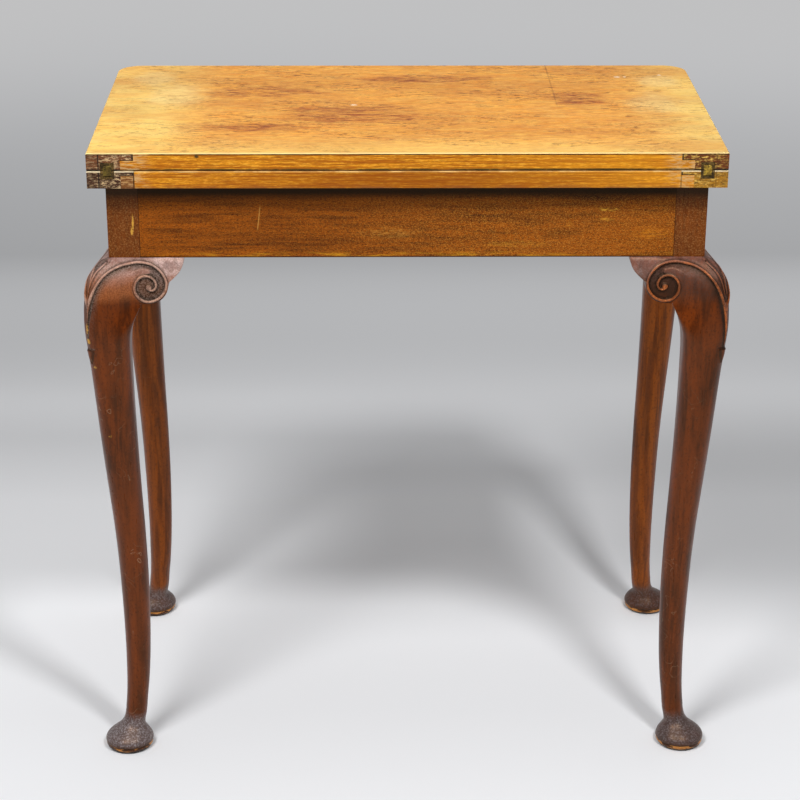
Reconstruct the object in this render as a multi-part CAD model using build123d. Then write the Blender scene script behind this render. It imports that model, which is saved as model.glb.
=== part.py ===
from build123d import *
import os

os.makedirs("parts", exist_ok=True)

# Fold-over card table with a pull-out frame. X runs along the hinge edge, +Y points from the
# hinge edge (the back) to the rounded front edge, Z is up. The origin is on the floor, under
# the middle of the closed top. Everything is drawn closed.

# Whole table
table_height = 730.0
top_width = 680.0
top_depth = 372.0
leaf_thickness = 19.0
leaf_gap = 0.4
front_corner_radius = 42.0
side_overhang = 17.0
end_overhang = 20.0
frieze_height = 84.2
sliding_gap = 0.4

# Top leaves
top_arris = 1.0
joint_arris = 1.8
cloth_margin = 40.0
cloth_back_margin = 8.0
cloth_thickness = 1.0
cloth_recess = 1.2
patch_length = 36.0
patch_depth = 12.0
patch_strip_length = 50.0
upper_strip_height = 8.0
lower_strip_height = 5.0

# Rails and joinery
rail_thickness = 18.0
post_size = 34.0
tenon_length = 16.0
tenon_thickness = 8.0
tenon_shoulder = 12.0
inner_rail_thickness = 16.0
inner_rail_rise = 14.0
housing_depth = 6.0
block_leg = 18.0
block_length = 44.0

# Leg
knee_reach = 30.0
post_corner = 2.0
foot_radius = 28.0
foot_height = 34.0
foot_offset = 3.0

# Knee blocks
ear_length = 81.0
ear_drop = 49.5
ear_ledge = 3.4
ear_root_swell = 8.6
ear_root_low = 12.5
ear_tip_swell = 6.0
ear_tip_low = 8.0

# Hinges of the folding boards
hinge_width = 14.0
hinge_height = 56.0
hinge_plate = 1.2
knuckle_radius = 2.4
knuckle_gap = 0.4
fold_pin_radius = 1.2
pin_clearance = 0.05
knuckle_end_gap = 0.2

# Link hinges of the top
link_inset = 22.0
link_width = 8.6
link_half_thickness = 2.0
link_overrun = 4.1
link_pin_inset = 2.2
link_pin_radius = 1.0
link_side_gap = 0.15
link_swing_gap = 0.3
seat_width = 15.0
seat_depth = 9.0
tongue_length = 44.0
tongue_thickness = 1.6

# Screws
hinge_screw_head = 2.3
hinge_screw_shank = 1.1
hinge_screw_length = 11.0
top_screw_head = 4.0
top_screw_head_depth = 2.4
top_screw_shank = 2.0
top_screw_grip = 22.0
top_screw_bite = 12.0
pocket_radius = 7.0
pocket_inset = 4.5
pocket_length = 34.0
screw_slot_width = 0.7
screw_slot_depth = 0.6
screw_clearance = 0.05

# Heights
joint_low = table_height - leaf_thickness - leaf_gap
joint_high = joint_low + leaf_gap
leaf_bottom = joint_low - leaf_thickness
frieze_bottom = leaf_bottom - frieze_height
moving_top = leaf_bottom - sliding_gap
tenon_low = frieze_bottom + tenon_shoulder
tenon_high = leaf_bottom - tenon_shoulder

# Plan places, on the right and front halves
hinge_edge = -top_depth / 2
corner_x = top_width / 2 - side_overhang
corner_y = top_depth / 2 - end_overhang
post_x = corner_x - post_size
post_y = corner_y - post_size
rail_x = corner_x - rail_thickness
rail_y = corner_y - rail_thickness
tenon_inset = (rail_thickness - tenon_thickness) / 2

# Folding boards: the pitch is one board and its gap, and the travel is one leaf's depth
half_gap = sliding_gap / 2
board_pitch = rail_thickness + sliding_gap
board_length = top_depth / 2 + board_pitch
pin_x = rail_x - half_gap
rear_pin_y = -post_y + half_gap
knee_pin_y = rear_pin_y + board_pitch
front_pin_y = knee_pin_y + board_pitch
knee_pin_x = pin_x - board_length

cut_over = leaf_thickness


def block(x_range, y_range, z_range):
    ranges = (x_range, y_range, z_range)
    size = [max(r) - min(r) for r in ranges]
    middle = [(max(r) + min(r)) / 2 for r in ranges]
    return Pos(*middle) * Box(*size)


def bar(start, direction, radius, length):
    upright = (Align.CENTER, Align.CENTER, Align.MIN)
    return Plane(origin=start, z_dir=direction).location * Cylinder(radius, length, align=upright)


def group(shapes):
    solids = []
    for shape in shapes:
        solids.extend(shape.solids())
    return Compound(solids)


def to_left(shape):
    return mirror(shape, about=Plane.YZ)


def to_back(shape):
    return mirror(shape, about=Plane.XZ)


def both_sides(shapes):
    return list(shapes) + [to_left(shape) for shape in shapes]


def save(name, shape):
    export_step(shape, "parts/" + name + ".step")


# Countersunk wood screw: the head's flat lies at the start, the shank runs along the direction
def screw(start, direction, head, head_depth, shank, length, grow=0):
    place = Plane(origin=start, z_dir=direction).location
    upright = (Align.CENTER, Align.CENTER, Align.MIN)
    cone = Cone(head + grow, shank + grow, head_depth, align=upright)
    body = place * (cone + Cylinder(shank + grow, length + grow, align=upright))
    if grow:
        return body
    slot = Box(head * 2 + screw_slot_width, screw_slot_width, screw_slot_depth * 2)
    return body - place * slot


def hinge_screw(start, direction, head_depth, grow=0):
    sizes = (hinge_screw_head, head_depth, hinge_screw_shank, hinge_screw_length)
    return screw(start, direction, *sizes, grow)


# Box in plan from a pin's axis: a runs along one way, b runs into the wood
def plan_block(axis, along, a_range, into, b_range, z_range):
    xs = [axis[0] + along[0] * a + into[0] * b for a in a_range for b in b_range]
    ys = [axis[1] + along[1] * a + into[1] * b for a in a_range for b in b_range]
    return block(xs, ys, z_range)


hinge_low = frieze_bottom + (frieze_height - hinge_height) / 2
hinge_high = hinge_low + hinge_height
knuckle_length = hinge_height / 3


# One side of a butt hinge: its leaf with its own knuckles, its screws, and the seat cut for them
def hinge_side(axis, along, into, outer):
    whole = (hinge_low, hinge_high)
    if outer:
        own = [
            (hinge_low, hinge_low + knuckle_length - knuckle_end_gap),
            (hinge_high - knuckle_length + knuckle_end_gap, hinge_high),
        ]
    else:
        own = [(hinge_low + knuckle_length, hinge_high - knuckle_length)]
    depth = (half_gap, half_gap + hinge_plate)
    swept = knuckle_radius + knuckle_gap
    plate = plan_block(axis, along, (0, hinge_width), into, depth, whole)
    seat = plate
    plate = plate - bar((*axis, hinge_low), (0, 0, 1), swept, hinge_height)
    for low, high in own:
        plate = plate + bar((*axis, low), (0, 0, 1), knuckle_radius, high - low)
        plate = plate + plan_block(axis, along, (0, swept + hinge_plate), into, depth, (low, high))
    hole = bar((*axis, hinge_low), (0, 0, 1), fold_pin_radius + pin_clearance, hinge_height)
    plate = plate - hole
    seat = seat + bar((*axis, hinge_low - knuckle_gap), (0, 0, 1), swept, hinge_height + knuckle_gap * 2)
    reach = (hinge_width + swept) / 2
    screws = []
    for z in (hinge_low + knuckle_length / 2, hinge_high - knuckle_length / 2):
        x = axis[0] + along[0] * reach + into[0] * half_gap
        y = axis[1] + along[1] * reach + into[1] * half_gap
        direction = (*into, 0)
        screws.append(hinge_screw((x, y, z), direction, hinge_plate))
        cutter = hinge_screw((x, y, z), direction, hinge_plate, screw_clearance)
        plate = plate - cutter
        seat = seat + cutter
    return {"leaf": plate, "screws": screws, "seat": seat}


def hinge_pin(axis):
    return bar((*axis, hinge_low), (0, 0, 1), fold_pin_radius, hinge_height)


# Leaf outline with its two rounded front corners
def leaf_blank(z_low):
    outline = Rectangle(top_width, top_depth)
    outline = fillet(outline.vertices().group_by(Axis.Y)[-1], front_corner_radius)
    return Pos(0, 0, z_low) * extrude(outline, leaf_thickness)


link_x = top_width / 2 - link_inset
pin_y = hinge_edge + link_pin_inset
low_pin_z = joint_low - link_pin_inset
high_pin_z = joint_high + link_pin_inset
tongue_screw_shares = (0.4, 0.8)


# A leaf with what is let into it. side is 1 for the upper leaf and -1 for the lower one
def dressed_leaf(side, z_low, joint_z, strip_z):
    leaf = leaf_blank(z_low)
    edges = leaf.edges().filter_by(Axis.X)
    joint_edge = edges.sort_by(lambda e: abs(e.center().Z - joint_z) + abs(e.center().Y - hinge_edge))[0]
    leaf = fillet(joint_edge, joint_arris)
    if side > 0:
        leaf = fillet(leaf.faces().sort_by(Axis.Z)[-1].outer_wire().edges(), top_arris)

    patch_x = top_width / 2 - patch_length
    strip_x = top_width / 2 - patch_strip_length
    end_x = top_width / 2 + cut_over
    patch_y = (hinge_edge - cut_over, hinge_edge + patch_depth)
    room = block((patch_x, end_x), patch_y, (z_low - cut_over, z_low + leaf_thickness + cut_over))
    room = room + block((strip_x, end_x), patch_y, strip_z)
    patch = leaf & room
    leaf = leaf - room - to_left(room)

    seat_z = (joint_z, joint_z + side * seat_depth)
    seat_x = (link_x - seat_width / 2, link_x + seat_width / 2)
    tongue_z = (joint_z, joint_z + side * tongue_thickness)
    seat = block(seat_x, (hinge_edge, hinge_edge + seat_depth), seat_z) & patch
    seat_cut = block(seat_x, (hinge_edge - cut_over, hinge_edge + seat_depth), seat_z)
    tongue = block(seat_x, (hinge_edge + seat_depth, hinge_edge + tongue_length), tongue_z)
    plate = seat + tongue
    cutter = seat_cut + tongue
    pin_z = joint_z + side * link_pin_inset
    slot_width = link_width + link_side_gap * 2
    slot_start = (link_x - slot_width / 2, pin_y, pin_z)
    plate = plate - bar(slot_start, (1, 0, 0), link_overrun + link_swing_gap, slot_width)
    pin_start = (seat_x[0], pin_y, pin_z)
    pin = bar(pin_start, (1, 0, 0), link_pin_radius, seat_width)
    plate = plate - bar(pin_start, (1, 0, 0), link_pin_radius + pin_clearance, seat_width)
    screws = []
    for share in tongue_screw_shares:
        start = (link_x, hinge_edge + tongue_length * share, joint_z)
        screws.append(hinge_screw(start, (0, 0, side), tongue_thickness))
        hole = hinge_screw(start, (0, 0, side), tongue_thickness, screw_clearance)
        plate = plate - hole
        cutter = cutter + hole
    patch = patch - cutter
    leaf = leaf - cutter - to_left(cutter)

    cloth_x = top_width / 2 - cloth_margin
    cloth_y = (hinge_edge + cloth_back_margin, top_depth / 2 - cloth_margin)
    recess_floor = joint_z + side * cloth_recess
    recess = block((-cloth_x, cloth_x), cloth_y, (joint_z, recess_floor))
    leaf = leaf - recess
    patch = patch - recess
    cloth = block((-cloth_x, cloth_x), cloth_y, (recess_floor - side * cloth_thickness, recess_floor))
    return {"leaf": leaf, "patch": patch, "plate": plate, "pin": pin, "screws": screws, "cloth": cloth}


# Leg stations down the leg, as shares: height under the frieze, outer face of the knee's reach,
# inner face of the post's size, side face of the outer one, rounding of the half width
leg_station_shares = [
    (1.0, 0.32, 1.0, 0.42, 0.20),
    (0.994, 0.46, 1.0, 0.42, 0.22),
    (0.975, 0.67, 1.0, 0.42, 0.25),
    (0.942, 0.91, 1.0, 0.42, 0.30),
    (0.909, 1.0, 0.97, 0.54, 0.36),
    (0.880, 1.005, 0.75, 0.84, 0.44),
    (0.850, 0.955, 0.61, 1.0, 0.52),
    (0.800, 0.855, 0.588, 1.0, 0.60),
    (0.700, 0.690, 0.609, 1.0, 0.74),
    (0.550, 0.447, 0.685, 1.0, 0.88),
    (0.400, 0.240, 0.762, 1.0, 0.94),
    (0.280, 0.146, 0.772, 1.0, 0.95),
    (0.180, 0.123, 0.712, 1.0, 0.95),
    (0.115, 0.165, 0.618, 1.0, 0.95),
    (0.070, 0.290, 0.506, 1.0, 0.95),
    (0.026, 0.600, 0.400, 1.0, 0.95),
]


def leg_section(height_share, out_share, in_share, side_share, round_share):
    out = knee_reach * out_share
    back = -post_size * in_share
    side = out * side_share
    half = (out - back) / 2
    soft = half * round_share
    square = side_share == 1.0
    flank = soft if square else max(post_corner, soft * side_share / 2)
    heel = soft if square else post_corner
    corners = [(out, out), (back, side), (back, back), (side, back)]
    outline = FilletPolyline(*corners, radius=[soft, flank, heel, flank], close=True)
    return Pos(corner_x, corner_y, frieze_bottom * height_share) * make_face(outline)


# Pad foot profile from its base up, as shares of the foot's radius and height
foot_profile_shares = [(0.66, 0), (0.925, 0.14), (1.0, 0.40), (0.945, 0.65), (0.74, 0.84), (0.40, 1.0)]


def pad_foot():
    points = [(foot_radius * out, foot_height * up) for out, up in foot_profile_shares]
    base, low_swell, widest, high_swell, shoulder, top = points
    profile = [
        Line((0, 0), base),
        ThreePointArc(base, low_swell, widest),
        ThreePointArc(widest, high_swell, shoulder),
        Line(shoulder, top),
        Line(top, (0, foot_height)),
        Line((0, foot_height), (0, 0)),
    ]
    face = Plane.XZ * make_face(Wire(profile))
    disc = revolve(face, Axis.Z)
    return Pos(corner_x + foot_offset, corner_y + foot_offset, 0) * disc


# Front right leg, its post as high as asked. Mortises are cut for the rails that meet it
def leg(post_top, side_mortise):
    sections = [leg_section(*shares) for shares in leg_station_shares]
    shape = loft(sections)
    knee_z = (frieze_bottom - ear_drop * 2, leaf_bottom)
    shape = shape - block((0, post_x), (0, top_depth), knee_z)
    shape = shape - block((0, top_width), (0, post_y), knee_z)
    shape = shape + pad_foot()
    shape = shape + block((post_x, corner_x), (post_y, corner_y), (frieze_bottom, post_top))
    shape = shape - rail_tenon()
    if side_mortise:
        shape = shape - side_tenon()
    return shape


def rail_tenon():
    y_high = corner_y - tenon_inset
    tenon_y = (y_high - tenon_thickness, y_high)
    return block((post_x, post_x + tenon_length), tenon_y, (tenon_low, tenon_high))


def side_tenon():
    x_high = corner_x - tenon_inset
    tenon_x = (x_high - tenon_thickness, x_high)
    return block(tenon_x, (post_y, post_y + tenon_length), (tenon_low, tenon_high))


# Knee block outline from its tip to its toe, as shares of its length and its drop
ear_outline_shares = [(1.0, 0), (0.955, 0.30), (0.79, 0.53), (0.70, 0.83), (0.50, 1.0)]
ear_swell_height_share = 0.32


# Knee block under the front rail at the right leg, its top lowered by the given gap
def ear(top_gap):
    points = [(ear_length * along, -ear_drop * down) for along, down in ear_outline_shares]
    tip, bulge, cusp, roll, toe = points
    root_low = (post_size, -ear_drop)
    root_high = (post_size, 0)
    outline = make_face(
        Wire(
            [
                Line(root_high, tip),
                ThreePointArc(tip, bulge, cusp),
                ThreePointArc(cusp, roll, toe),
                Line(toe, root_low),
                Line(root_low, root_high),
            ]
        )
    )
    plank = extrude(Plane.XZ * outline, ear_drop, both=True)
    root = ear_section(post_size, ear_root_swell, ear_root_low)
    tip_end = ear_section(ear_length, ear_tip_swell, ear_tip_low)
    swell = loft([root, tip_end])
    shape = plank & swell
    if top_gap:
        shape = shape - block((0, ear_length), (-ear_drop, ear_drop), (-top_gap, 0))
    return Pos(corner_x, corner_y, frieze_bottom) * mirror(shape, about=Plane.YZ)


def ear_section(inboard, swell, low):
    back = -rail_thickness
    crown = (ear_ledge, 0)
    foot = (low, -ear_drop)
    face = make_face(
        Wire(
            [
                Line((back, 0), crown),
                ThreePointArc(crown, (swell, -ear_drop * ear_swell_height_share), foot),
                Line(foot, (back, -ear_drop)),
                Line((back, -ear_drop), (back, 0)),
            ]
        )
    )
    return Plane(origin=(inboard, 0, 0), x_dir=(0, 1, 0), z_dir=(1, 0, 0)) * face


def to_side(shape):
    return mirror(shape, about=Plane(origin=(corner_x, corner_y, 0), z_dir=(1, -1, 0)))


# Long rail between the front posts, with its tenons
def front_rail_blank(rail_top):
    rail = block((-post_x, post_x), (rail_y, corner_y), (frieze_bottom, rail_top))
    return rail + rail_tenon() + to_left(rail_tenon())


# Screw that goes up through a pocket in a rail's inner face into the lower leaf
def pocket_screw(place, outward):
    x = place[0] + outward[0] * pocket_inset
    y = place[1] + outward[1] * pocket_inset
    start = (x, y, leaf_bottom - top_screw_grip)
    length = top_screw_grip + top_screw_bite
    sizes = (top_screw_head, top_screw_head_depth, top_screw_shank, length)
    pocket = bar((x, y, start[2] - pocket_length), (0, 0, 1), pocket_radius, pocket_length)
    cutter = screw(start, (0, 0, 1), *sizes, screw_clearance) + pocket
    return screw(start, (0, 0, 1), *sizes), cutter


# Three-cornered glue block in the angle of a rail and the leaf
def glue_block(place, outward):
    corners = [(0, 0), (0, -block_leg), (-block_leg, 0)]
    triangle = make_face(Polyline(*corners, close=True))
    frame = Plane(origin=(*place, leaf_bottom), x_dir=(*outward, 0), z_dir=(outward[1], -outward[0], 0))
    prism = extrude(triangle, block_length / 2, both=True)
    return frame.location * prism


upper_strip = (table_height - upper_strip_height, table_height + cut_over)
lower_strip = (joint_low - lower_strip_height, joint_low + cut_over)
upper = dressed_leaf(1, joint_high, joint_high, upper_strip)
lower = dressed_leaf(-1, leaf_bottom, joint_low, lower_strip)

# Fixed frame
side_rail_y = (front_pin_y + half_gap, post_y)
side_rail = block((rail_x, corner_x), side_rail_y, (frieze_bottom, leaf_bottom)) + side_tenon()
front_hinge_rail = hinge_side((pin_x, front_pin_y), (0, 1), (1, 0), True)
side_rail = side_rail - front_hinge_rail["seat"]
inner_rail_back = front_pin_y + hinge_width + inner_rail_rise / 2
inner_rail_front = inner_rail_back + inner_rail_thickness
inner_rail_end = rail_x + housing_depth
inner_rail_z = (frieze_bottom + inner_rail_rise, leaf_bottom)
inner_rail = block((-inner_rail_end, inner_rail_end), (inner_rail_back, inner_rail_front), inner_rail_z)
side_rail = side_rail - inner_rail
front_rail = front_rail_blank(leaf_bottom)

rail_screw_share = 0.72
side_screw_share = 0.3
inner_screw_share = 0.5
screw_places = [
    ((0, rail_y), (0, 1)),
    ((post_x * rail_screw_share, rail_y), (0, 1)),
    ((rail_x, post_y * side_screw_share), (1, 0)),
    ((post_x * inner_screw_share, inner_rail_front), (0, -1)),
]
top_screws = []
pockets = []
for place, outward in screw_places:
    fastener, pocket = pocket_screw(place, outward)
    copies = [(fastener, pocket)]
    if place[0]:
        copies.append((to_left(fastener), to_left(pocket)))
    for one, room in copies:
        top_screws.append(one)
        pockets.append(room)
for room in pockets:
    lower["leaf"] = lower["leaf"] - room
    front_rail = front_rail - room
    inner_rail = inner_rail - room
side_rail_left = to_left(side_rail)
for room in pockets:
    side_rail = side_rail - room
    side_rail_left = side_rail_left - room

rail_block_share = 0.4
side_block_share = 0.7
block_places = [
    ((post_x * rail_block_share, rail_y), (0, 1)),
    ((rail_x, post_y * side_block_share), (1, 0)),
    ((rail_x, inner_rail_front + block_length * side_block_share), (1, 0)),
]
glue_blocks = both_sides([glue_block(place, outward) for place, outward in block_places])

# Folding boards
front_hinge_board = hinge_side((pin_x, front_pin_y), (-1, 0), (0, -1), False)
knee_hinge_front = hinge_side((knee_pin_x, knee_pin_y), (1, 0), (0, 1), True)
knee_hinge_rear = hinge_side((knee_pin_x, knee_pin_y), (1, 0), (0, -1), False)
rear_hinge_board = hinge_side((pin_x, rear_pin_y), (-1, 0), (0, 1), False)
rear_hinge_leg = hinge_side((pin_x, rear_pin_y), (-1, 0), (0, -1), True)
board_x = (knee_pin_x + half_gap, pin_x - half_gap)
board_z = (frieze_bottom, moving_top)
fold_front = block(board_x, (knee_pin_y + half_gap, front_pin_y - half_gap), board_z)
fold_front = fold_front - front_hinge_board["seat"] - knee_hinge_front["seat"]
fold_rear = block(board_x, (rear_pin_y + half_gap, knee_pin_y - half_gap), board_z)
fold_rear = fold_rear - knee_hinge_rear["seat"] - rear_hinge_board["seat"]

# Legs and knee blocks
leg_front_right = leg(leaf_bottom, True)
leg_back_right = to_back(leg(moving_top, False)) - rear_hinge_leg["seat"]
rail_ear = ear(0)
side_ear = to_side(ear(0))
low_side_ear = to_side(ear(sliding_gap))
back_rail = to_back(front_rail_blank(moving_top))

# Links of the top hinges
link_low = low_pin_z - link_overrun
link_high = high_pin_z + link_overrun
link_x_range = (link_x - link_width / 2, link_x + link_width / 2)
link_y_range = (pin_y - link_half_thickness, pin_y + link_half_thickness)
link_round = link_half_thickness
link = block(link_x_range, link_y_range, (link_low + link_round, link_high - link_round))
for z in (link_low + link_round, link_high - link_round):
    link = link + bar((link_x_range[0], pin_y, z), (1, 0, 0), link_round, link_width)
for z in (low_pin_z, high_pin_z):
    link = link - bar((link_x_range[0], pin_y, z), (1, 0, 0), link_pin_radius + pin_clearance, link_width)

save("lower_leaf", lower["leaf"])
save("upper_leaf", upper["leaf"])
save("playing_cloth_lower", lower["cloth"])
save("playing_cloth_upper", upper["cloth"])
save("edge_patches_lower", group(both_sides([lower["patch"]])))
save("edge_patches_upper", group(both_sides([upper["patch"]])))
save("link_hinge_plates_lower", group(both_sides([lower["plate"]])))
save("link_hinge_plates_upper", group(both_sides([upper["plate"]])))
save("link_hinge_pins_lower", group(both_sides([lower["pin"]])))
save("link_hinge_pins_upper", group(both_sides([upper["pin"]])))
save("link_hinge_screws_lower", group(both_sides(lower["screws"])))
save("link_hinge_screws_upper", group(both_sides(upper["screws"])))
save("hinge_link_right", link)
save("hinge_link_left", to_left(link))

save("front_rail", front_rail)
save("back_rail", back_rail)
save("side_rail_right", side_rail)
save("side_rail_left", side_rail_left)
save("inner_rail", inner_rail)
save("glue_blocks", group(glue_blocks))
save("top_screws", group(top_screws))

save("leg_front_right", leg_front_right)
save("leg_front_left", to_left(leg_front_right))
save("leg_back_right", leg_back_right)
save("leg_back_left", to_left(leg_back_right))
for name, shape in (
    ("ear_front_rail", rail_ear),
    ("ear_front_side", side_ear),
    ("ear_back_rail", to_back(rail_ear)),
    ("ear_back_side", to_back(low_side_ear)),
):
    save(name + "_right", shape)
    save(name + "_left", to_left(shape))

save("fold_hinge_leaves_rail", group(both_sides([front_hinge_rail["leaf"]])))
save("fold_hinge_screws_rail", group(both_sides(front_hinge_rail["screws"])))
save("fold_hinge_pins_rail", group(both_sides([hinge_pin((pin_x, front_pin_y))])))
save("fold_hinge_leaves_leg", group(both_sides([rear_hinge_leg["leaf"]])))
save("fold_hinge_screws_leg", group(both_sides(rear_hinge_leg["screws"])))
save("fold_hinge_pins_leg", group(both_sides([hinge_pin((pin_x, rear_pin_y))])))
front_leaves = group([front_hinge_board["leaf"], knee_hinge_front["leaf"]])
front_screws = group(front_hinge_board["screws"] + knee_hinge_front["screws"])
rear_leaves = group([rear_hinge_board["leaf"], knee_hinge_rear["leaf"]])
rear_screws = group(rear_hinge_board["screws"] + knee_hinge_rear["screws"])
for name, shape in (
    ("fold_board_front", fold_front),
    ("fold_hinge_leaves_front", front_leaves),
    ("fold_hinge_screws_front", front_screws),
    ("fold_hinge_pin_knee", hinge_pin((knee_pin_x, knee_pin_y))),
    ("fold_board_rear", fold_rear),
    ("fold_hinge_leaves_rear", rear_leaves),
    ("fold_hinge_screws_rear", rear_screws),
):
    save(name + "_right", shape)
    save(name + "_left", to_left(shape))
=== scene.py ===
import math
import bmesh
import bpy
import numpy as np
from mathutils import Matrix, Vector


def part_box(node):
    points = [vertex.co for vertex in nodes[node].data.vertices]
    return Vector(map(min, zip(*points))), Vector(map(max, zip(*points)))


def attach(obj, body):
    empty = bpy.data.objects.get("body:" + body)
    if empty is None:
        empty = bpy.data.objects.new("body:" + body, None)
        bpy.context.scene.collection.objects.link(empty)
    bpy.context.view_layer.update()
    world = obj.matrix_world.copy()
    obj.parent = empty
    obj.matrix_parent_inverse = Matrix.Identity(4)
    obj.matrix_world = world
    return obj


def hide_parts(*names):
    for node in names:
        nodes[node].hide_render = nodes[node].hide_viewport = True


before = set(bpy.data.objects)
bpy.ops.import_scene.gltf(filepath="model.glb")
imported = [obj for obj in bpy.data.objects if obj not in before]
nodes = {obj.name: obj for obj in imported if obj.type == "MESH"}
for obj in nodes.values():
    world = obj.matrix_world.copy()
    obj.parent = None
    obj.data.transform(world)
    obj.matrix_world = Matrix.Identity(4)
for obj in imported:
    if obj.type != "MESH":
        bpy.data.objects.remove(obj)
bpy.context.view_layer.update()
mm = 0.001
print("frame loaded:", len(nodes), "nodes")

# places that the frame gives, in metres
railLow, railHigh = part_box("back_rail")
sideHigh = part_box("side_rail_right")[1]
upperLow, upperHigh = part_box("upper_leaf")
lowerLow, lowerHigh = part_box("lower_leaf")
friezeBottom = railLow.z
cornerX = sideHigh.x
cornerY = -railLow.y


# small tools

def hexColor(code):
    channels = [int(code[i:i + 2], 16) / 255 for i in (1, 3, 5)]
    linear = [c / 12.92 if c <= 0.04045 else ((c + 0.055) / 1.055) ** 2.4 for c in channels]
    return (*linear, 1.0)


def smoothStep(low, high, value):
    t = np.clip((np.asarray(value, float) - low) / (high - low), 0, 1)
    return t * t * (3 - 2 * t)


def tableCurve(table, column, where):
    # smooth curve through one column of a table, with no overshoot
    order = np.argsort([row[0] for row in table])
    xs = np.array([table[i][0] for i in order], float)
    ys = np.array([table[i][column] for i in order], float)
    secants = np.diff(ys) / np.diff(xs)
    slopes = np.zeros(len(xs))
    slopes[0], slopes[-1] = secants[0], secants[-1]
    product = secants[:-1] * secants[1:]
    total = secants[:-1] + secants[1:]
    slopes[1:-1] = np.where(product > 0, 2 * product / np.where(total == 0, 1, total), 0)
    where = np.clip(np.asarray(where, float), xs[0], xs[-1])
    i = np.clip(np.searchsorted(xs, where) - 1, 0, len(xs) - 2)
    span = xs[i + 1] - xs[i]
    t = (where - xs[i]) / span
    rise = (2 * t ** 3 - 3 * t ** 2 + 1) * ys[i] + (3 * t ** 2 - 2 * t ** 3) * ys[i + 1]
    return rise + (t ** 3 - 2 * t ** 2 + t) * span * slopes[i] + (t ** 3 - t ** 2) * span * slopes[i + 1]


def placeObject(name, data):
    made = bpy.data.objects.new(name, data)
    bpy.context.scene.collection.objects.link(made)
    return made


def meshObject(name, points, faces, attributes=None, sharpAngle=38):
    mesh = bpy.data.meshes.new(name)
    mesh.from_pydata([tuple(p) for p in points], [], [tuple(int(i) for i in f) for f in faces])
    for label, values in (attributes or {}).items():
        layer = mesh.attributes.new(label, "FLOAT", "POINT")
        layer.data.foreach_set("value", np.asarray(values, np.float32))
    shadeByAngle(mesh, sharpAngle)
    return placeObject(name, mesh)


def shadeByAngle(mesh, angle):
    # smooth faces, with hard edges where the surface turns by more than the angle
    work = bmesh.new()
    work.from_mesh(mesh)
    limit = math.radians(angle)
    for face in work.faces:
        face.smooth = True
    for edge in work.edges:
        if len(edge.link_faces) == 2:
            edge.smooth = edge.calc_face_angle(0) < limit
    work.to_mesh(mesh)
    work.free()


def dress(piece, material):
    piece.data.materials.clear()
    piece.data.materials.append(material)


# shader tools

class Graph:
    # adds nodes to one tree; an input may be a value or another node's output
    def __init__(self, tree):
        self.tree = tree

    def feed(self, socket, value):
        if isinstance(value, bpy.types.NodeSocket):
            self.tree.links.new(value, socket)
        else:
            socket.default_value = value

    def add(self, kind, inputs=None, **settings):
        made = self.tree.nodes.new(kind)
        for key, value in settings.items():
            setattr(made, key, value)
        for key, value in (inputs or {}).items():
            self.feed(made.inputs[key], value)
        return made

    def group(self, tree, **values):
        made = self.add("ShaderNodeGroup", node_tree=tree)
        for key, value in values.items():
            self.feed(made.inputs[key], value)
        return made.outputs

    def split(self, vector):
        return self.add("ShaderNodeSeparateXYZ", {0: vector}).outputs

    def math(self, operation, first, *others):
        for other in others or (0.0,):
            first = self.add("ShaderNodeMath", {0: first, 1: other}, operation=operation).outputs[0]
        return first

    def plus(self, *values):
        return self.math("ADD", *values)

    def minus(self, a, b):
        return self.math("SUBTRACT", a, b)

    def times(self, value, *factors):
        return self.math("MULTIPLY", value, *factors) if factors else value

    def most(self, *values):
        return self.math("MAXIMUM", *values)

    def absolute(self, value):
        return self.math("ABSOLUTE", value)

    def vector(self, operation, a, b):
        return self.add("ShaderNodeVectorMath", {0: a, 1: b}, operation=operation).outputs[0]

    def remap(self, value, low, high, outLow=0.0, outHigh=1.0):
        # eased: outLow below low, outHigh above high
        inputs = {0: value, 1: low, 2: high, 3: outLow, 4: outHigh}
        return self.add("ShaderNodeMapRange", inputs, interpolation_type="SMOOTHSTEP").outputs[0]

    def span(self, mask, outLow, outHigh):
        return self.remap(mask, 0.0, 1.0, outLow, outHigh)

    def noise(self, vector, scale, detail=4.0, roughness=0.55, distortion=0.0):
        inputs = {"Vector": vector, "Scale": scale, "Detail": detail, "Roughness": roughness,
                  "Distortion": distortion}
        return self.add("ShaderNodeTexNoise", inputs).outputs[0]

    def noisy(self, vector, stretch, detail, roughness, low, high, outLow=0.0, outHigh=1.0):
        # mask of stretched noise, cut between low and high
        noise = self.noise(self.vector("MULTIPLY", vector, stretch), 1.0, detail, roughness)
        return self.remap(noise, low, high, outLow, outHigh)

    def mix(self, factor, a, b):
        made = self.add("ShaderNodeMix", {"Factor": factor}, data_type="RGBA")
        self.feed(made.inputs[6], a)
        self.feed(made.inputs[7], b)
        return made.outputs[2]

    def paint(self, base, tone, *masks):
        # lays a tone over the base where all the masks are; either may be a hex code
        base, tone = (hexColor(color) if isinstance(color, str) else color for color in (base, tone))
        return self.mix(self.times(*masks), base, tone)

    def coats(self, tones, base, *rows):
        # paints row after row: a tone, or its key among the tones, and the masks that limit it
        base = tones.get(base, base)
        for tone, *masks in rows:
            base = self.paint(base, tones.get(tone, tone), *masks)
        return base


# kinds of the groups' sockets; all others are plain values
socketKinds = {"Color": "NodeSocketColor"}
socketKinds.update(dict.fromkeys(("Vector", "Stretch", "Centre", "Size"), "NodeSocketVector"))


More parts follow.
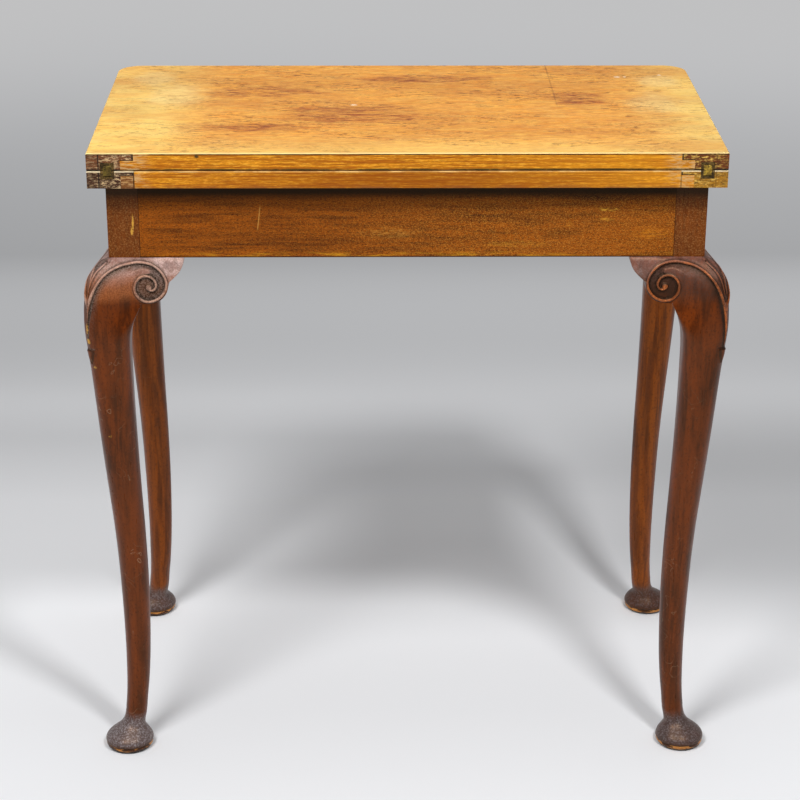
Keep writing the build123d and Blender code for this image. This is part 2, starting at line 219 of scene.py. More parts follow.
def makeGroup(name, inputs, outputs, build):
    tree = bpy.data.node_groups.new(name, "ShaderNodeTree")
    for direction, labels in (("INPUT", inputs), ("OUTPUT", outputs)):
        for label in labels.split():
            kind = socketKinds.get(label, "NodeSocketFloat")
            tree.interface.new_socket(label, in_out=direction, socket_type=kind)
    graph = Graph(tree)
    source = graph.add("NodeGroupInput").outputs
    sink = graph.add("NodeGroupOutput").inputs
    for label, socket in build(graph, source).items():
        tree.links.new(socket, sink[label])
    return tree


# long streaks and short dark flecks, stretched along the grain
def buildGrain(g, source):
    vector = g.vector("MULTIPLY", source["Vector"], source["Stretch"])
    warp = g.noise(g.vector("MULTIPLY", vector, (0.35, 0.35, 0.35)), 1.0, 2.0)
    shift = g.add("ShaderNodeCombineXYZ", {0: warp, 1: g.times(warp, 1.7), 2: warp}).outputs[0]
    vector = g.vector("ADD", vector, shift)
    streak = g.remap(g.noise(vector, 1.0, 6.0, 0.62), 0.3, 0.7)
    fine = g.noise(g.vector("MULTIPLY", vector, (2.6, 3.2, 2.6)), 1.0, 3.0, 0.6)
    fleck = g.remap(g.noise(g.vector("MULTIPLY", vector, (1.25, 1.3, 1.25)), 1.9, 5.0, 0.65), 0.54, 0.64)
    return {"Streak": streak, "Fine": fine, "Fleck": fleck}


# large soft blotches
def buildCloud(g, source):
    cloud = g.noise(source["Vector"], source["Scale"], 5.0, 0.6, 0.4)
    return {"Value": g.remap(cloud, source["Low"], source["High"])}


# thin curling scratches, in patches
def buildScratch(g, source):
    curl = g.noise(source["Vector"], source["Scale"], 2.0, 0.5, 1.2)
    ridge = g.absolute(g.minus(curl, 0.5))
    line = g.remap(ridge, 0.0, source["Thin"], 1.0, 0.0)
    moved = g.vector("ADD", source["Vector"], (3.1, 1.7, 5.3))
    patch = g.noise(moved, g.times(source["Scale"], 0.6), 3.0, 0.6)
    return {"Mask": g.times(line, g.remap(patch, source["Rare"], 0.8))}


# fine dust or pores, as large as the stretch sets
def buildSpeckle(g, source):
    grit = g.noise(g.vector("MULTIPLY", source["Vector"], source["Stretch"]), 1.0, 4.0, 0.7)
    return {"Mask": g.remap(grit, source["Low"], source["High"])}


# worn patch with a ragged rim
def buildSpot(g, source):
    away = g.vector("DIVIDE", g.vector("SUBTRACT", source["Vector"], source["Centre"]), source["Size"])
    length = g.add("ShaderNodeVectorMath", {0: away}, operation="LENGTH").outputs["Value"]
    rim = g.times(g.noise(source["Vector"], source["Scale"], 4.0, 0.7), source["Ragged"])
    reach = g.minus(g.plus(length, g.times(rim, 2.0)), source["Ragged"])
    return {"Mask": g.remap(reach, 0.8, 0.3)}


# line at a level of any value, such as a joint between two boards
def buildLine(g, source):
    away = g.absolute(g.minus(source["Value"], source["Level"]))
    outer = g.times(source["Half"], g.plus(1.0, source["Soft"]))
    inner = g.times(source["Half"], g.minus(1.0, source["Soft"]))
    return {"Mask": g.remap(away, outer, inner)}


grainGroup = makeGroup("wood grain", "Vector Stretch", "Streak Fine Fleck", buildGrain)
cloudGroup = makeGroup("blotches", "Vector Scale Low High", "Value", buildCloud)
scratchGroup = makeGroup("scratches", "Vector Scale Thin Rare", "Mask", buildScratch)
speckleGroup = makeGroup("speckle", "Vector Stretch Low High", "Mask", buildSpeckle)
spotGroup = makeGroup("worn spot", "Vector Centre Size Ragged Scale", "Mask", buildSpot)
lineGroup = makeGroup("joint line", "Value Level Half Soft", "Mask", buildLine)


def speckle(g, place, stretch, low, high):
    return g.group(speckleGroup, Vector=place, Stretch=stretch, Low=low, High=high)["Mask"]


def spot(g, place, centre, size, ragged=0.6, scale=260.0):
    return g.group(spotGroup, Vector=place, Centre=centre, Size=size, Ragged=ragged, Scale=scale)["Mask"]


def band(g, value, level, half, soft=0.5):
    return g.group(lineGroup, Value=value, Level=level, Half=half, Soft=soft)["Mask"]


def clouds(g, vector, scale, low, high):
    return g.group(cloudGroup, Vector=vector, Scale=scale, Low=low, High=high)["Value"]


def newMaterial(name):
    material = bpy.data.materials.new(name)
    material.use_nodes = True
    material.node_tree.nodes.clear()
    graph = Graph(material.node_tree)
    place = graph.add("ShaderNodeTexCoord").outputs["Object"]
    return material, graph, place


def finishMaterial(graph, color, roughness, height=None, bump=0.0004, **shader):
    inputs = {"Base Color": color, "Roughness": roughness}
    if height is not None:
        inputs["Normal"] = graph.add("ShaderNodeBump", {"Height": height, "Distance": bump}).outputs[0]
    # a shader setting such as Sheen_Weight goes to the socket of that name
    inputs.update({key.replace("_", " "): value for key, value in shader.items()})
    surface = graph.add("ShaderNodeBsdfPrincipled", inputs).outputs[0]
    graph.add("ShaderNodeOutputMaterial", {"Surface": surface})


# legs and knee blocks

postSide = 34.0   # side of the square post, mm
legTop = 607.4    # the carved leg starts here, just under the frieze
ankle = 46.0      # the pad foot starts here

legShape = {
    "railThickness": 18.0,
    "faceEnd": (560.0, 516.0),   # between these heights the knee's faces fade into the leg
    "straight": (18, 30),        # this far in from the corner the carving turns square to the face
    "kneeMask": (440, 540),      # heights that the masks of knee and pad fade over
    "padMask": (44, 30),
    # rings of points down the leg: from, to, how many
    "rings": [(legTop, 548, 86), (547, 480, 54), (474, 60, 52), (56, ankle, 3)],
    # height, how far the knee stands out, how far the leg goes in, rounding share
    "profile": [
        (legTop, 2.2, 34.0, 0.20), (606.4, 6.0, 34.0, 0.21), (604.8, 9.4, 34.0, 0.22),
        (602, 13.0, 34.0, 0.23), (597, 17.2, 34.0, 0.25), (590, 21.2, 34.0, 0.26),
        (580, 25.0, 34.0, 0.29), (570, 27.7, 34.0, 0.31), (560, 28.9, 34.0, 0.34),
        (550, 29.3, 30.5, 0.38), (540, 29.2, 26.0, 0.43), (530, 28.7, 22.8, 0.48),
        (520, 27.8, 20.9, 0.52), (500, 25.7, 20.0, 0.58), (480, 24.0, 20.1, 0.64),
        (440, 21.3, 20.6, 0.73), (400, 18.6, 21.5, 0.80), (360, 15.6, 22.6, 0.86),
        (320, 12.3, 23.8, 0.90), (280, 9.2, 25.2, 0.93), (240, 6.9, 26.1, 0.95),
        (200, 5.3, 26.5, 0.96), (160, 4.2, 26.0, 0.97), (120, 3.7, 24.7, 0.97),
        (80, 4.2, 21.9, 0.98), (60, 5.2, 19.6, 0.98), (ankle, 6.6, 18.4, 0.98)],
    # height, centre out from the corner, radius
    "foot": [
        (ankle, -5.9, 12.5), (40, -5.2, 12.4), (35, -4.2, 12.5), (31, -3.0, 12.9), (27.5, -1.6, 14.0),
        (24.5, -0.4, 15.8), (22, 0.6, 18.2), (19.5, 1.5, 21.0), (17, 2.3, 23.6), (14.5, 2.8, 25.8),
        (12.2, 3.0, 27.2), (10.2, 3.0, 27.9), (8.8, 3.0, 28.0), (8.0, 3.0, 27.3), (7.4, 3.0, 27.1),
        (5.0, 3.0, 27.4), (3.6, 3.0, 27.0), (2.4, 3.0, 26.0), (1.2, 3.0, 24.6), (0.4, 3.0, 23.6),
        (0.0, 3.0, 22.8)],
    # distance in from the corner, share of the knee's reach
    "fall": [(-32, 1.0), (-10, 0.98), (-2, 0.90), (8, 0.77), (17, 0.65), (27, 0.51), (36, 0.43),
             (60, 0.34), (81, 0.30)],
}

# knee blocks
earShape = {
    # depth below the frieze, how far in from the corner the block's lobe reaches
    "lobe": [(0, 81.0), (4, 80.7), (8, 79.7), (12, 77.9), (16, 75.2), (20, 71.4), (24, 67.0), (28, 62.0),
             (50, 30)],
    "drop": 49.5,     # height of the block
    "volute": 19.9,   # radius of the block round the volute
    "rim": 1.0,       # rounding of its edge, in steps of share in and share back
    "rimSteps": ((0.45, 0.12, 0.0), (0.10, 0.42, 1.0)),
    "rows": 52, "columns": 46,
}

carving = {
    "volute": (43.6, 29.4),   # centre, in from the corner and down from the frieze, mm
    # angle round the volute in degrees, radius of the bead's middle
    "turns": [
        (-124, 30.8), (-106, 26.6), (-88, 23.7), (-65, 20.9), (-38, 19.0), (-10, 18.2), (10, 17.7),
        (35, 16.9), (62, 16.8), (90, 17.3), (112, 17.4), (137, 16.8), (170, 16.1), (195, 15.4),
        (223, 13.9), (250, 11.8), (285, 9.3), (325, 7.6), (370, 6.9), (410, 6.0), (450, 4.4)],
    # the bead from the arch out to the knee's corner and down to the husk
    "tail": [
        (26.4, 3.7), (14.5, 5.7), (5.5, 8.9), (-2.6, 13.8), (-9.4, 20.8), (-14.6, 29.5), (-18.8, 40.0),
        (-22.0, 52.0), (-24.2, 66.0), (-25.2, 82.0), (-24.8, 99.0)],
    # a finer line from the frieze's corner that joins the bead
    "line": [(1.0, 1.0), (-4.0, 4.4), (-10.5, 10.0), (-15.8, 18.0), (-19.6, 28.0), (-22.4, 40.0),
             (-23.8, 53.0), (-24.4, 66.0)],
    "outerTurn": (-88, 236, 13.2),   # first and last angle of the outer turn, radius inside it
    "beadHalf": 1.9,
    "beadHeight": 1.7,
    "lineHalf": 1.3,
    "lineHeight": 0.9,
    "sunk": 1.5,              # ground inside the volute
    "eye": (42.6, 31.0, 3.9, 2.7),   # place, radius and height of the boss
    "husk": (98.5, 120.0, 7.2, 3.0, -24.5),  # top, bottom, half width, height, place of the ridge
}


def smoothPath(points, count):
    # evenly spaced points on a smooth curve through the given ones
    points = np.array(points, float)
    padded = np.vstack([2 * points[0] - points[1], points, 2 * points[-1] - points[-2]])
    t = np.linspace(0, 1, 12, endpoint=False)[:, None]
    parts = []
    for a, b, c, d in zip(padded, padded[1:], padded[2:], padded[3:]):
        bend, twist = 2 * a - 5 * b + 4 * c - d, 3 * b - a - 3 * c + d
        parts.append((2 * b + (c - a) * t + bend * t ** 2 + twist * t ** 3) / 2)
    line = np.vstack(parts + [points[-1:]])
    run = np.concatenate([[0], np.cumsum(np.linalg.norm(np.diff(line, axis=0), axis=1))])
    even = np.linspace(0, run[-1], count)
    return np.stack([np.interp(even, run, line[:, 0]), np.interp(even, run, line[:, 1])], 1)


def voluteBead():
    angles = np.radians(np.linspace(carving["turns"][0][0], carving["turns"][-1][0], 260))
    radii = tableCurve(carving["turns"], 1, np.degrees(angles))
    centre = carving["volute"]
    return np.stack([centre[0] + radii * np.cos(angles), centre[1] + radii * np.sin(angles)], 1)


def pathDistance(u, w, path):
    # distance to the path, share of its length, and which side of it
    best = np.full(u.shape, 1e9)
    share = np.zeros(u.shape)
    side = np.zeros(u.shape)
    steps = np.diff(path, axis=0)
    for i, (start, step) in enumerate(zip(path[:-1], steps)):
        du, dw = u - start[0], w - start[1]
        t = np.clip((du * step[0] + dw * step[1]) / (step @ step), 0, 1)
        gap = np.hypot(du - t * step[0], dw - t * step[1])
        closer = gap < best
        best = np.where(closer, gap, best)
        share = np.where(closer, (i + t) / len(steps), share)
        side = np.where(closer, step[0] * dw - step[1] * du, side)
    return best, share, np.sign(side)


def domed(offset, half, power):
    return np.clip(1 - (offset / half) ** 2, 0, 1) ** power


def bell(offset, width):
    return np.exp(-(offset / width) ** 2)


def carve(u, w, spread):
    # relief over the knee's face in mm, with masks of the bead and of the sunk ground, which also holds
    # painted shade in the grooves
    u, w = np.asarray(u, float), np.asarray(w, float)
    tail = [(a + spread * smoothStep(26, -6, a), b) for a, b in carving["tail"]]
    line = [(a + spread * smoothStep(10, -6, a), b) for a, b in carving["line"]]
    arch = smoothPath(tail[::-1], 110)
    volute = voluteBead()
    path = np.vstack([arch[:-1], volute])
    gap, share, side = pathDistance(u, w, path)   # side is 1 inside and below the bead
    lineGap, lineShare, lineSide = pathDistance(u, w, smoothPath(line, 70))

    # the bead thins out toward the husk and toward the eye
    archShare = len(arch) / len(path)
    along = np.clip(share / archShare, 0, 1)
    half = carving["beadHalf"] * (0.62 + 0.38 * smoothStep(0.0, 0.45, along))
    half = half * (1 - 0.18 * smoothStep(0.86, 1.0, share))
    rise = carving["beadHeight"] * (0.45 + 0.55 * smoothStep(0.0, 0.4, along))
    bead = domed(gap, half, 0.7)

    # ground sunk inside the volute and in a valley below the bead
    centre = carving["volute"]
    angle = np.degrees(np.arctan2(w - centre[1], u - centre[0]))
    reach = np.hypot(u - centre[0], w - centre[1])
    firstTurn, lastTurn, within = carving["outerTurn"]
    turn = np.where(angle < firstTurn, angle + 360, angle)
    outer = np.where(turn < lastTurn, tableCurve(carving["turns"], 1, turn), within)
    mouth = np.maximum(smoothStep(-120, -70, turn), smoothStep(16.5, 13.0, reach))
    inside = smoothStep(0.8, -0.8, reach - outer) * mouth
    below = (side > 0) * smoothStep(-30, -12, u)
    valley = bell(np.maximum(gap - half, 0), 7.5)
    ground = 1 - (1 - inside) * (1 - below * valley)

    # the finer line, and the panel between it and the bead
    lineBead = domed(lineGap, carving["lineHalf"], 0.8)
    lineBead = lineBead * smoothStep(1.0, 0.8, lineShare) * smoothStep(0, 0.06, lineShare)
    apart = smoothStep(0, 3.5, np.minimum(gap, lineGap))
    panel = (side < 0) * (lineSide > 0) * apart * smoothStep(12, 4, u)

    # a small pointed husk at the end of the bead
    top, bottom, huskHalf, huskHeight, huskRidge = carving["husk"]
    fall = np.clip((w - top) / (bottom - top), 0, 1)
    huskWidth = huskHalf * np.sqrt(np.clip(1 - fall ** 1.6, 0, 1)) + 0.01
    huskShape = domed(u - huskRidge, huskWidth, 0.6)
    husk = huskShape * smoothStep(top - 0.8, top + 0.6, w) * smoothStep(bottom + 0.5, bottom - 5, w)

    # the round boss in the volute's eye, then the whole relief
    x, y, eyeRadius, eyeHeight = carving["eye"]
    eye = domed(np.hypot(u - x, w - y), eyeRadius, 0.5)
    crest = np.maximum(bead * rise, lineBead * carving["lineHeight"])
    crest = np.maximum(crest, eye * eyeHeight)
    relief = crest - carving["sunk"] * ground * (1 - bead * 0.8) - 0.8 * panel + husk * huskHeight
    fade = smoothStep(127, 119, w)
    crown = np.maximum(np.maximum(bead, eye), np.maximum(0.7 * lineBead, 0.62 * husk))

    # painted shade in grooves beside the bead, beside the line and over the husk, deeper inside and below
    # the bead
    besideBead = bell(gap - half - 0.5, 0.9) * np.where(side > 0, 1.0, 0.55)
    besideLine = bell(lineGap - carving["lineHalf"] - 0.4, 0.8) * (lineShare < 0.96)
    overHusk = bell(w - top + 1.2, 1.0) * (np.abs(u - huskRidge) < huskHalf)
    grooveShade = np.maximum(besideBead, 0.6 * np.maximum(besideLine, overHusk))
    sunk = np.clip(0.55 * ground + 0.3 * panel + 0.8 * grooveShade * (1 - crown), 0, 1)
    return relief * fade, np.clip(crown, 0, 1) * fade, sunk * fade


def kneeFace(u, z):
    # how far the face stands out from the rail at a distance in from the corner
    out = tableCurve(legShape["profile"], 1, z)
    square = smoothStep(*legShape["faceEnd"], z)
    fall = tableCurve(legShape["fall"], 1, u)
    return out * (fall * (1 - square) + square)


def unit(vectors):
    return vectors / np.maximum(np.linalg.norm(vectors, axis=-1, keepdims=True), 1e-9)


def cornerArc(before, corner, after, radius, count):
    # rounds the corner of every ring with an arc of its own radius
    towardBefore, towardAfter = unit(before - corner), unit(after - corner)
    half = np.arccos(np.clip((towardBefore * towardAfter).sum(1), -1, 1)) / 2
    middle = unit(towardBefore + towardAfter)
    centre = corner + middle * (radius / np.sin(half))[:, None]
    start = corner + towardBefore * (radius / np.tan(half))[:, None] - centre
    first = np.arctan2(start[:, 1], start[:, 0])
    turn = first[:, None] - (math.pi - 2 * half)[:, None] * np.linspace(0, 1, count)[None, :]
    ring = np.stack([np.cos(turn), np.sin(turn)], 2) * radius[:, None, None]
    return centre[:, None, :] + ring


def between(start, end, count):
    t = (np.arange(1, count + 1) / (count + 1))[None, :, None]
    return start[:, None, :] * (1 - t) + end[:, None, :] * t


# points round one ring of the leg: on a face, on the ridge, on an inner side, on the other corners
faceSteps = 60
ridgeSteps = 23
innerSteps = 7
flankSteps = 5


def legRings(spread):
    heights = np.concatenate([np.linspace(*part) for part in legShape["rings"]])
    profile = legShape["profile"]
    out = tableCurve(profile, 1, heights)
    inner = tableCurve(profile, 2, heights)
    square = smoothStep(*legShape["faceEnd"], heights)
    half = (out + inner) / 2
    ridge = half * tableCurve(profile, 3, heights)
    flank = 0.1 * (1 - square) + ridge * square
    heel = 1.0 * (1 - square) + ridge * square
    side = kneeFace(inner, heights)
    outer = np.stack([out, out], 1)
    left = np.stack([-inner, side], 1)
    right = np.stack([side, -inner], 1)
    back = np.stack([-inner, -inner], 1)
    leftArc = cornerArc(back, left, outer, flank, flankSteps)
    ridgeArc = cornerArc(left, outer, right, ridge, ridgeSteps)
    rightArc = cornerArc(outer, right, back, flank, flankSteps)
    heelArc = cornerArc(right, back, left, heel, flankSteps)
    rings = np.concatenate([
        leftArc, between(leftArc[:, -1], ridgeArc[:, 0], faceSteps), ridgeArc,
        between(ridgeArc[:, -1], rightArc[:, 0], faceSteps), rightArc,
        between(rightArc[:, -1], heelArc[:, 0], innerSteps), heelArc,
        between(heelArc[:, -1], leftArc[:, 0], innerSteps)], 1)

    # the knee's two faces bulge away from a straight line between their corners
    z = np.repeat(heights[:, None], rings.shape[1], 1)
    count = flankSteps + faceSteps + ridgeSteps // 2 + 1
    kneeFaces = (slice(0, count), slice(count - 1, 2 * count - 1))
    for axis, part in enumerate(kneeFaces):
        across = rings[:, :, axis]
        run = np.clip((across + inner[:, None]) / (out + inner)[:, None], 0, 1)
        line = side[:, None] + (out - side)[:, None] * run
        swell = kneeFace(-across, z) - line
        mine = np.zeros(rings.shape[1])
        mine[part] = 1
        fade = smoothStep(0.0, 1.0, (out[:, None] - across) / np.maximum(ridge[:, None], 0.5))
        rings[:, :, 1 - axis] += swell * fade * mine[None, :]

    ahead = np.roll(rings, -1, 1) - np.roll(rings, 1, 1)
    normal = unit(np.stack([-ahead[:, :, 1], ahead[:, :, 0]], 2))
    relief, bead, ground = np.zeros((3, *rings.shape[:2]))
    down = friezeBottom / mm - z
    for axis, part in enumerate(kneeFaces):
        values = carve(-rings[:, part, axis], down[:, part], spread)
        relief[:, part], bead[:, part], ground[:, part] = values
        straight = smoothStep(*legShape["straight"], -rings[:, part, axis]) * (1 - square)[:, None]
        aim = np.zeros(normal[:, part].shape)
        aim[:, :, 1 - axis] = 1
        normal[:, part] = normal[:, part] * (1 - straight)[:, :, None] + aim * straight[:, :, None]
    rings = rings + normal * relief[:, :, None]
    return heights, rings, bead, ground


def footRings(count, startRing):
    # pad foot: the ankle's ring turns into circles about the pad's centre
    heights = [row[0] for row in legShape["foot"]]
    fine = np.concatenate([np.linspace(a, b, 3)[1:] for a, b in zip(heights[:-1], heights[1:])])
    centre = tableCurve(legShape["foot"], 1, fine)
    radius = tableCurve(legShape["foot"], 2, fine)
    middle = startRing.mean(0)
    angle = np.unwrap(np.arctan2(startRing[:, 1] - middle[1], startRing[:, 0] - middle[0]))
    even = np.linspace(angle[0], angle[0] - 2 * math.pi, count, endpoint=False)
    rings = []
    for z, c, r in zip(fine, centre, radius):
        blend = smoothStep(ankle, 30, z)
        a = angle * (1 - blend) + even * blend
        rings.append(np.stack([c + r * np.cos(a), c + r * np.sin(a)], 1))
    return fine, np.array(rings)


def ringFaces(index):
    # four-sided faces between closed rings of points
    faces = []
    for upper, lower in zip(index[:-1], index[1:]):
        faces += list(zip(upper, np.roll(upper, -1), np.roll(lower, -1), lower))
    return faces


def buildLeg(name, signX, signY, spread):
    heights, rings, bead, ground = legRings(spread)
    footHeights, foot = footRings(rings.shape[1], rings[-1])
    z = np.concatenate([heights, footHeights])
    rings = np.concatenate([rings, foot])
    pad = np.concatenate([np.zeros(len(heights)), smoothStep(*legShape["padMask"], footHeights)])
    extra = np.zeros((len(footHeights), rings.shape[1]))
    bead, ground = np.concatenate([bead, extra]), np.concatenate([ground, extra])
    rows, columns = rings.shape[:2]
    points = np.zeros((rows, columns, 3))
    points[:, :, 0] = signX * (cornerX + rings[:, :, 0] * mm)
    points[:, :, 1] = signY * (cornerY + rings[:, :, 1] * mm)
    points[:, :, 2] = z[:, None] * mm
    index = np.arange(rows * columns).reshape(rows, columns)
    faces = ringFaces(index)
    faces.append(tuple(index[0][::-1]))
    faces.append(tuple(index[-1]))
    if signX * signY < 0:
        faces = [tuple(f[::-1]) for f in faces]
    knee = smoothStep(*legShape["kneeMask"], z)
    masks = {"bead": bead.ravel(), "ground": ground.ravel(),
             "pad": np.repeat(pad, columns), "knee": np.repeat(knee, columns)}
    return meshObject(name, points.reshape(-1, 3), faces, masks)


def addPost(piece, node, signX, signY):
    # the square post with its seats and mortises, as the frame holds it
    work = bmesh.new()
    work.from_mesh(piece.data)
    post = bmesh.new()
    post.from_mesh(nodes[node].data)
    slack = 0.01 * mm
    bmesh.ops.remove_doubles(post, verts=post.verts, dist=slack)
    # what stands out of the post or below the frieze is cut off, a hair outside its faces
    hair = 0.02 * mm
    cut = friezeBottom + hair
    planes = [((0, 0, cut), (0, 0, -1)), ((signX * (cornerX + hair), 0, 0), (signX, 0, 0)),
              ((0, signY * (cornerY + hair), 0), (0, signY, 0))]
    for place, normal in planes:
        everything = post.verts[:] + post.edges[:] + post.faces[:]
        bmesh.ops.bisect_plane(post, geom=everything, plane_co=place, plane_no=normal, clear_outer=True)
        openEdges = [edge for edge in post.edges if edge.is_boundary]
        bmesh.ops.holes_fill(post, edges=openEdges, sides=0)
    for face in post.faces:
        face.smooth = False
    kept = bpy.data.meshes.new("post")
    post.to_mesh(kept)
    post.free()
    work.from_mesh(kept)
    layer = work.verts.layers.float.get("post") or work.verts.layers.float.new("post")
    for vert in work.verts:
        across, along, high = abs(vert.co.x), abs(vert.co.y), vert.co.z
        inPost = high > cut - slack and across < cornerX + hair + slack and along < cornerY + hair + slack
        vert[layer] = float(inPost)
    work.to_mesh(piece.data)
    work.free()
    bpy.data.meshes.remove(kept)


def earEdge(down):
    # how far in the knee block reaches at a depth below the frieze
    centre, rim = carving["volute"], earShape["volute"]
    across = np.sqrt(np.clip(rim ** 2 - (down - centre[1]) ** 2, 0, None))
    return np.maximum(tableCurve(earShape["lobe"], 1, down), centre[0] + across)


def buildEar(name, signX, signY, alongSide, gap, spread):
    # rows run down from the frieze, columns in from the post
    downs = np.concatenate([[gap], np.linspace(gap + 0.8, earShape["drop"] - 0.05, earShape["rows"])])
    columns = earShape["columns"]
    rim = earShape["rim"]
    rimIn, rimBack = np.array(earShape["rimSteps"]) * rim
    loops, masks = [], {"bead": [], "ground": []}
    for down in downs:
        reach = earEdge(down)
        z = friezeBottom / mm - down
        u = postSide + (reach - rim - postSide) * np.linspace(0, 1, columns)
        relief, bead, ground = carve(u, np.full(columns, down), spread)
        front = kneeFace(u, np.full(columns, z)) + relief
        # rounded rim, then the flat thickness of the block
        uAll = np.concatenate([u, reach - rimIn])
        vAll = np.concatenate([front, front[-1] - rimBack])
        back = np.full(len(uAll), -legShape["railThickness"])
        loops.append(np.concatenate([np.stack([uAll, vAll], 1), np.stack([uAll, back], 1)[::-1]]))
        still = np.zeros(len(rimIn) + len(uAll))
        masks["bead"].append(np.concatenate([bead, still]))
        masks["ground"].append(np.concatenate([ground, still]))
    loops = np.array(loops)
    rows, around = loops.shape[:2]
    points = np.zeros((rows, around, 3))
    inward, outward = -loops[:, :, 0], loops[:, :, 1]
    if alongSide:
        inward, outward = outward, inward
    points[:, :, 0] = signX * (cornerX + inward * mm)
    points[:, :, 1] = signY * (cornerY + outward * mm)
    points[:, :, 2] = (friezeBottom / mm - downs)[:, None] * mm
    index = np.arange(rows * around).reshape(rows, around)
    faces = ringFaces(index)
    n = around // 2
    for row, flip in ((index[0], True), (index[-1], False)):
        for i in range(n - 1):
            quad = (row[i], row[i + 1], row[around - 2 - i], row[around - 1 - i])
            faces.append(quad[::-1] if flip else quad)
    turned = (signX * signY < 0) != alongSide
    if not turned:
        faces = [f[::-1] for f in faces]
    zero = np.zeros(rows * around)
    values = {"bead": np.concatenate(masks["bead"]), "ground": np.concatenate(masks["ground"]),
              "pad": zero, "knee": zero + 1, "post": zero}
    return meshObject(name, points.reshape(-1, 3), faces, values)


carvingLean = {"front": 0.0, "back": 0.8}   # the near knees' carving lies this far left, mm
legPieces = []
for sideName, signX in (("right", 1), ("left", -1)):
    for endName, signY in (("front", 1), ("back", -1)):
        body = endName + "_frame"
        spread = carvingLean[endName] * signX
        legNode = f"leg_{endName}_{sideName}"
        leg = buildLeg(f"carved_{legNode}", signX, signY, spread)
        addPost(leg, legNode, signX, signY)
        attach(leg, body)
        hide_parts(legNode)
        legPieces.append(leg)
        for along in (False, True):
            earNode = f"ear_{endName}_{'side' if along else 'rail'}_{sideName}"
            gap = max(0.0, (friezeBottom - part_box(earNode)[1].z) / mm)
            ear = buildEar(f"carved_{earNode}", signX, signY, along, gap, spread)
            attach(ear, body)
            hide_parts(earNode)
            legPieces.append(ear)
print("legs and knee blocks carved")


# leaves of the top

leafCorner = {
    "frame": 42.0 * mm,   # radius of a front corner in the frame
    "shown": 27.0 * mm,
    "rim": 3.0 * mm,      # what lies this near the corner's edge moves with it
}


def buildLeaf(name, node, body):
    # the frame's leaf, with its two front corners drawn out to a smaller radius
    mesh = nodes[node].data.copy()
    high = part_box(node)[1]
    radius = leafCorner["frame"]
    pull = radius - leafCorner["shown"]
    slack = 0.01 * mm
    for vert in mesh.vertices:
        across = abs(vert.co.x) - (high.x - radius)
        along = vert.co.y - (high.y - radius)
        reach = math.hypot(across, along)
        if min(across, along) < -slack or reach < radius - leafCorner["rim"]:
            continue
        share = 1 - pull / reach
        vert.co.x = math.copysign(high.x - radius + pull + across * share, vert.co.x)
        vert.co.y = high.y - radius + pull + along * share
    leaf = placeObject(name, mesh)
    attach(leaf, body)
    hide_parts(node)
    return leaf


leafLower = buildLeaf("leaf_lower", "lower_leaf", "front_frame")
leafUpper = buildLeaf("leaf_upper", "upper_leaf", "upper_leaf")
print("leaves of the top made")


# playing cloth

playingCloth = {"fill": 0.9, "columns": 60, "rows": 32, "wave": 0.02 * mm}


def clothSheet(name, node, body):
    low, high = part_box(node)
    grid = bmesh.new()
    bmesh.ops.create_grid(grid, x_segments=playingCloth["columns"], y_segments=playingCloth["rows"],
                          size=0.5)
    size = high - low
    middle = (low + high) / 2
    noise = np.random.default_rng(4).normal(0, playingCloth["wave"], len(grid.verts))
    for vert, shift in zip(grid.verts, noise):
        vert.co = Vector((middle.x + vert.co.x * size.x, middle.y + vert.co.y * size.y, middle.z + shift))
    mesh = bpy.data.meshes.new(name)
    grid.to_mesh(mesh)
    grid.free()
    sheet = placeObject(name, mesh)
    solid = sheet.modifiers.new("felt", "SOLIDIFY")
    solid.thickness = size.z * playingCloth["fill"]
    solid.offset = 0
    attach(sheet, body)
    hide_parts(node)
    return sheet


clothLower = clothSheet("baize_lower", "playing_cloth_lower", "front_frame")
clothUpper = clothSheet("baize_upper", "playing_cloth_upper", "upper_leaf")
print("playing cloths laid")


# finishes of several pieces

def onTop(g, z):
    # mask of the closed top's upper face
    return g.remap(z, upperHigh.z - 0.0010, upperHigh.z - 0.0006)


def soot(g, z, amount):
    # painted shade of the frame just under the top, where the top's overhang casts its shadow
    return g.remap(z, railHigh.z - 0.022, railHigh.z - 0.010, 0.0, amount)


def brokenGrain(g, place):
    return g.noisy(place, (26.0, 90.0, 110.0), 7.0, 0.8, 0.40, 0.60)


# wood of the top

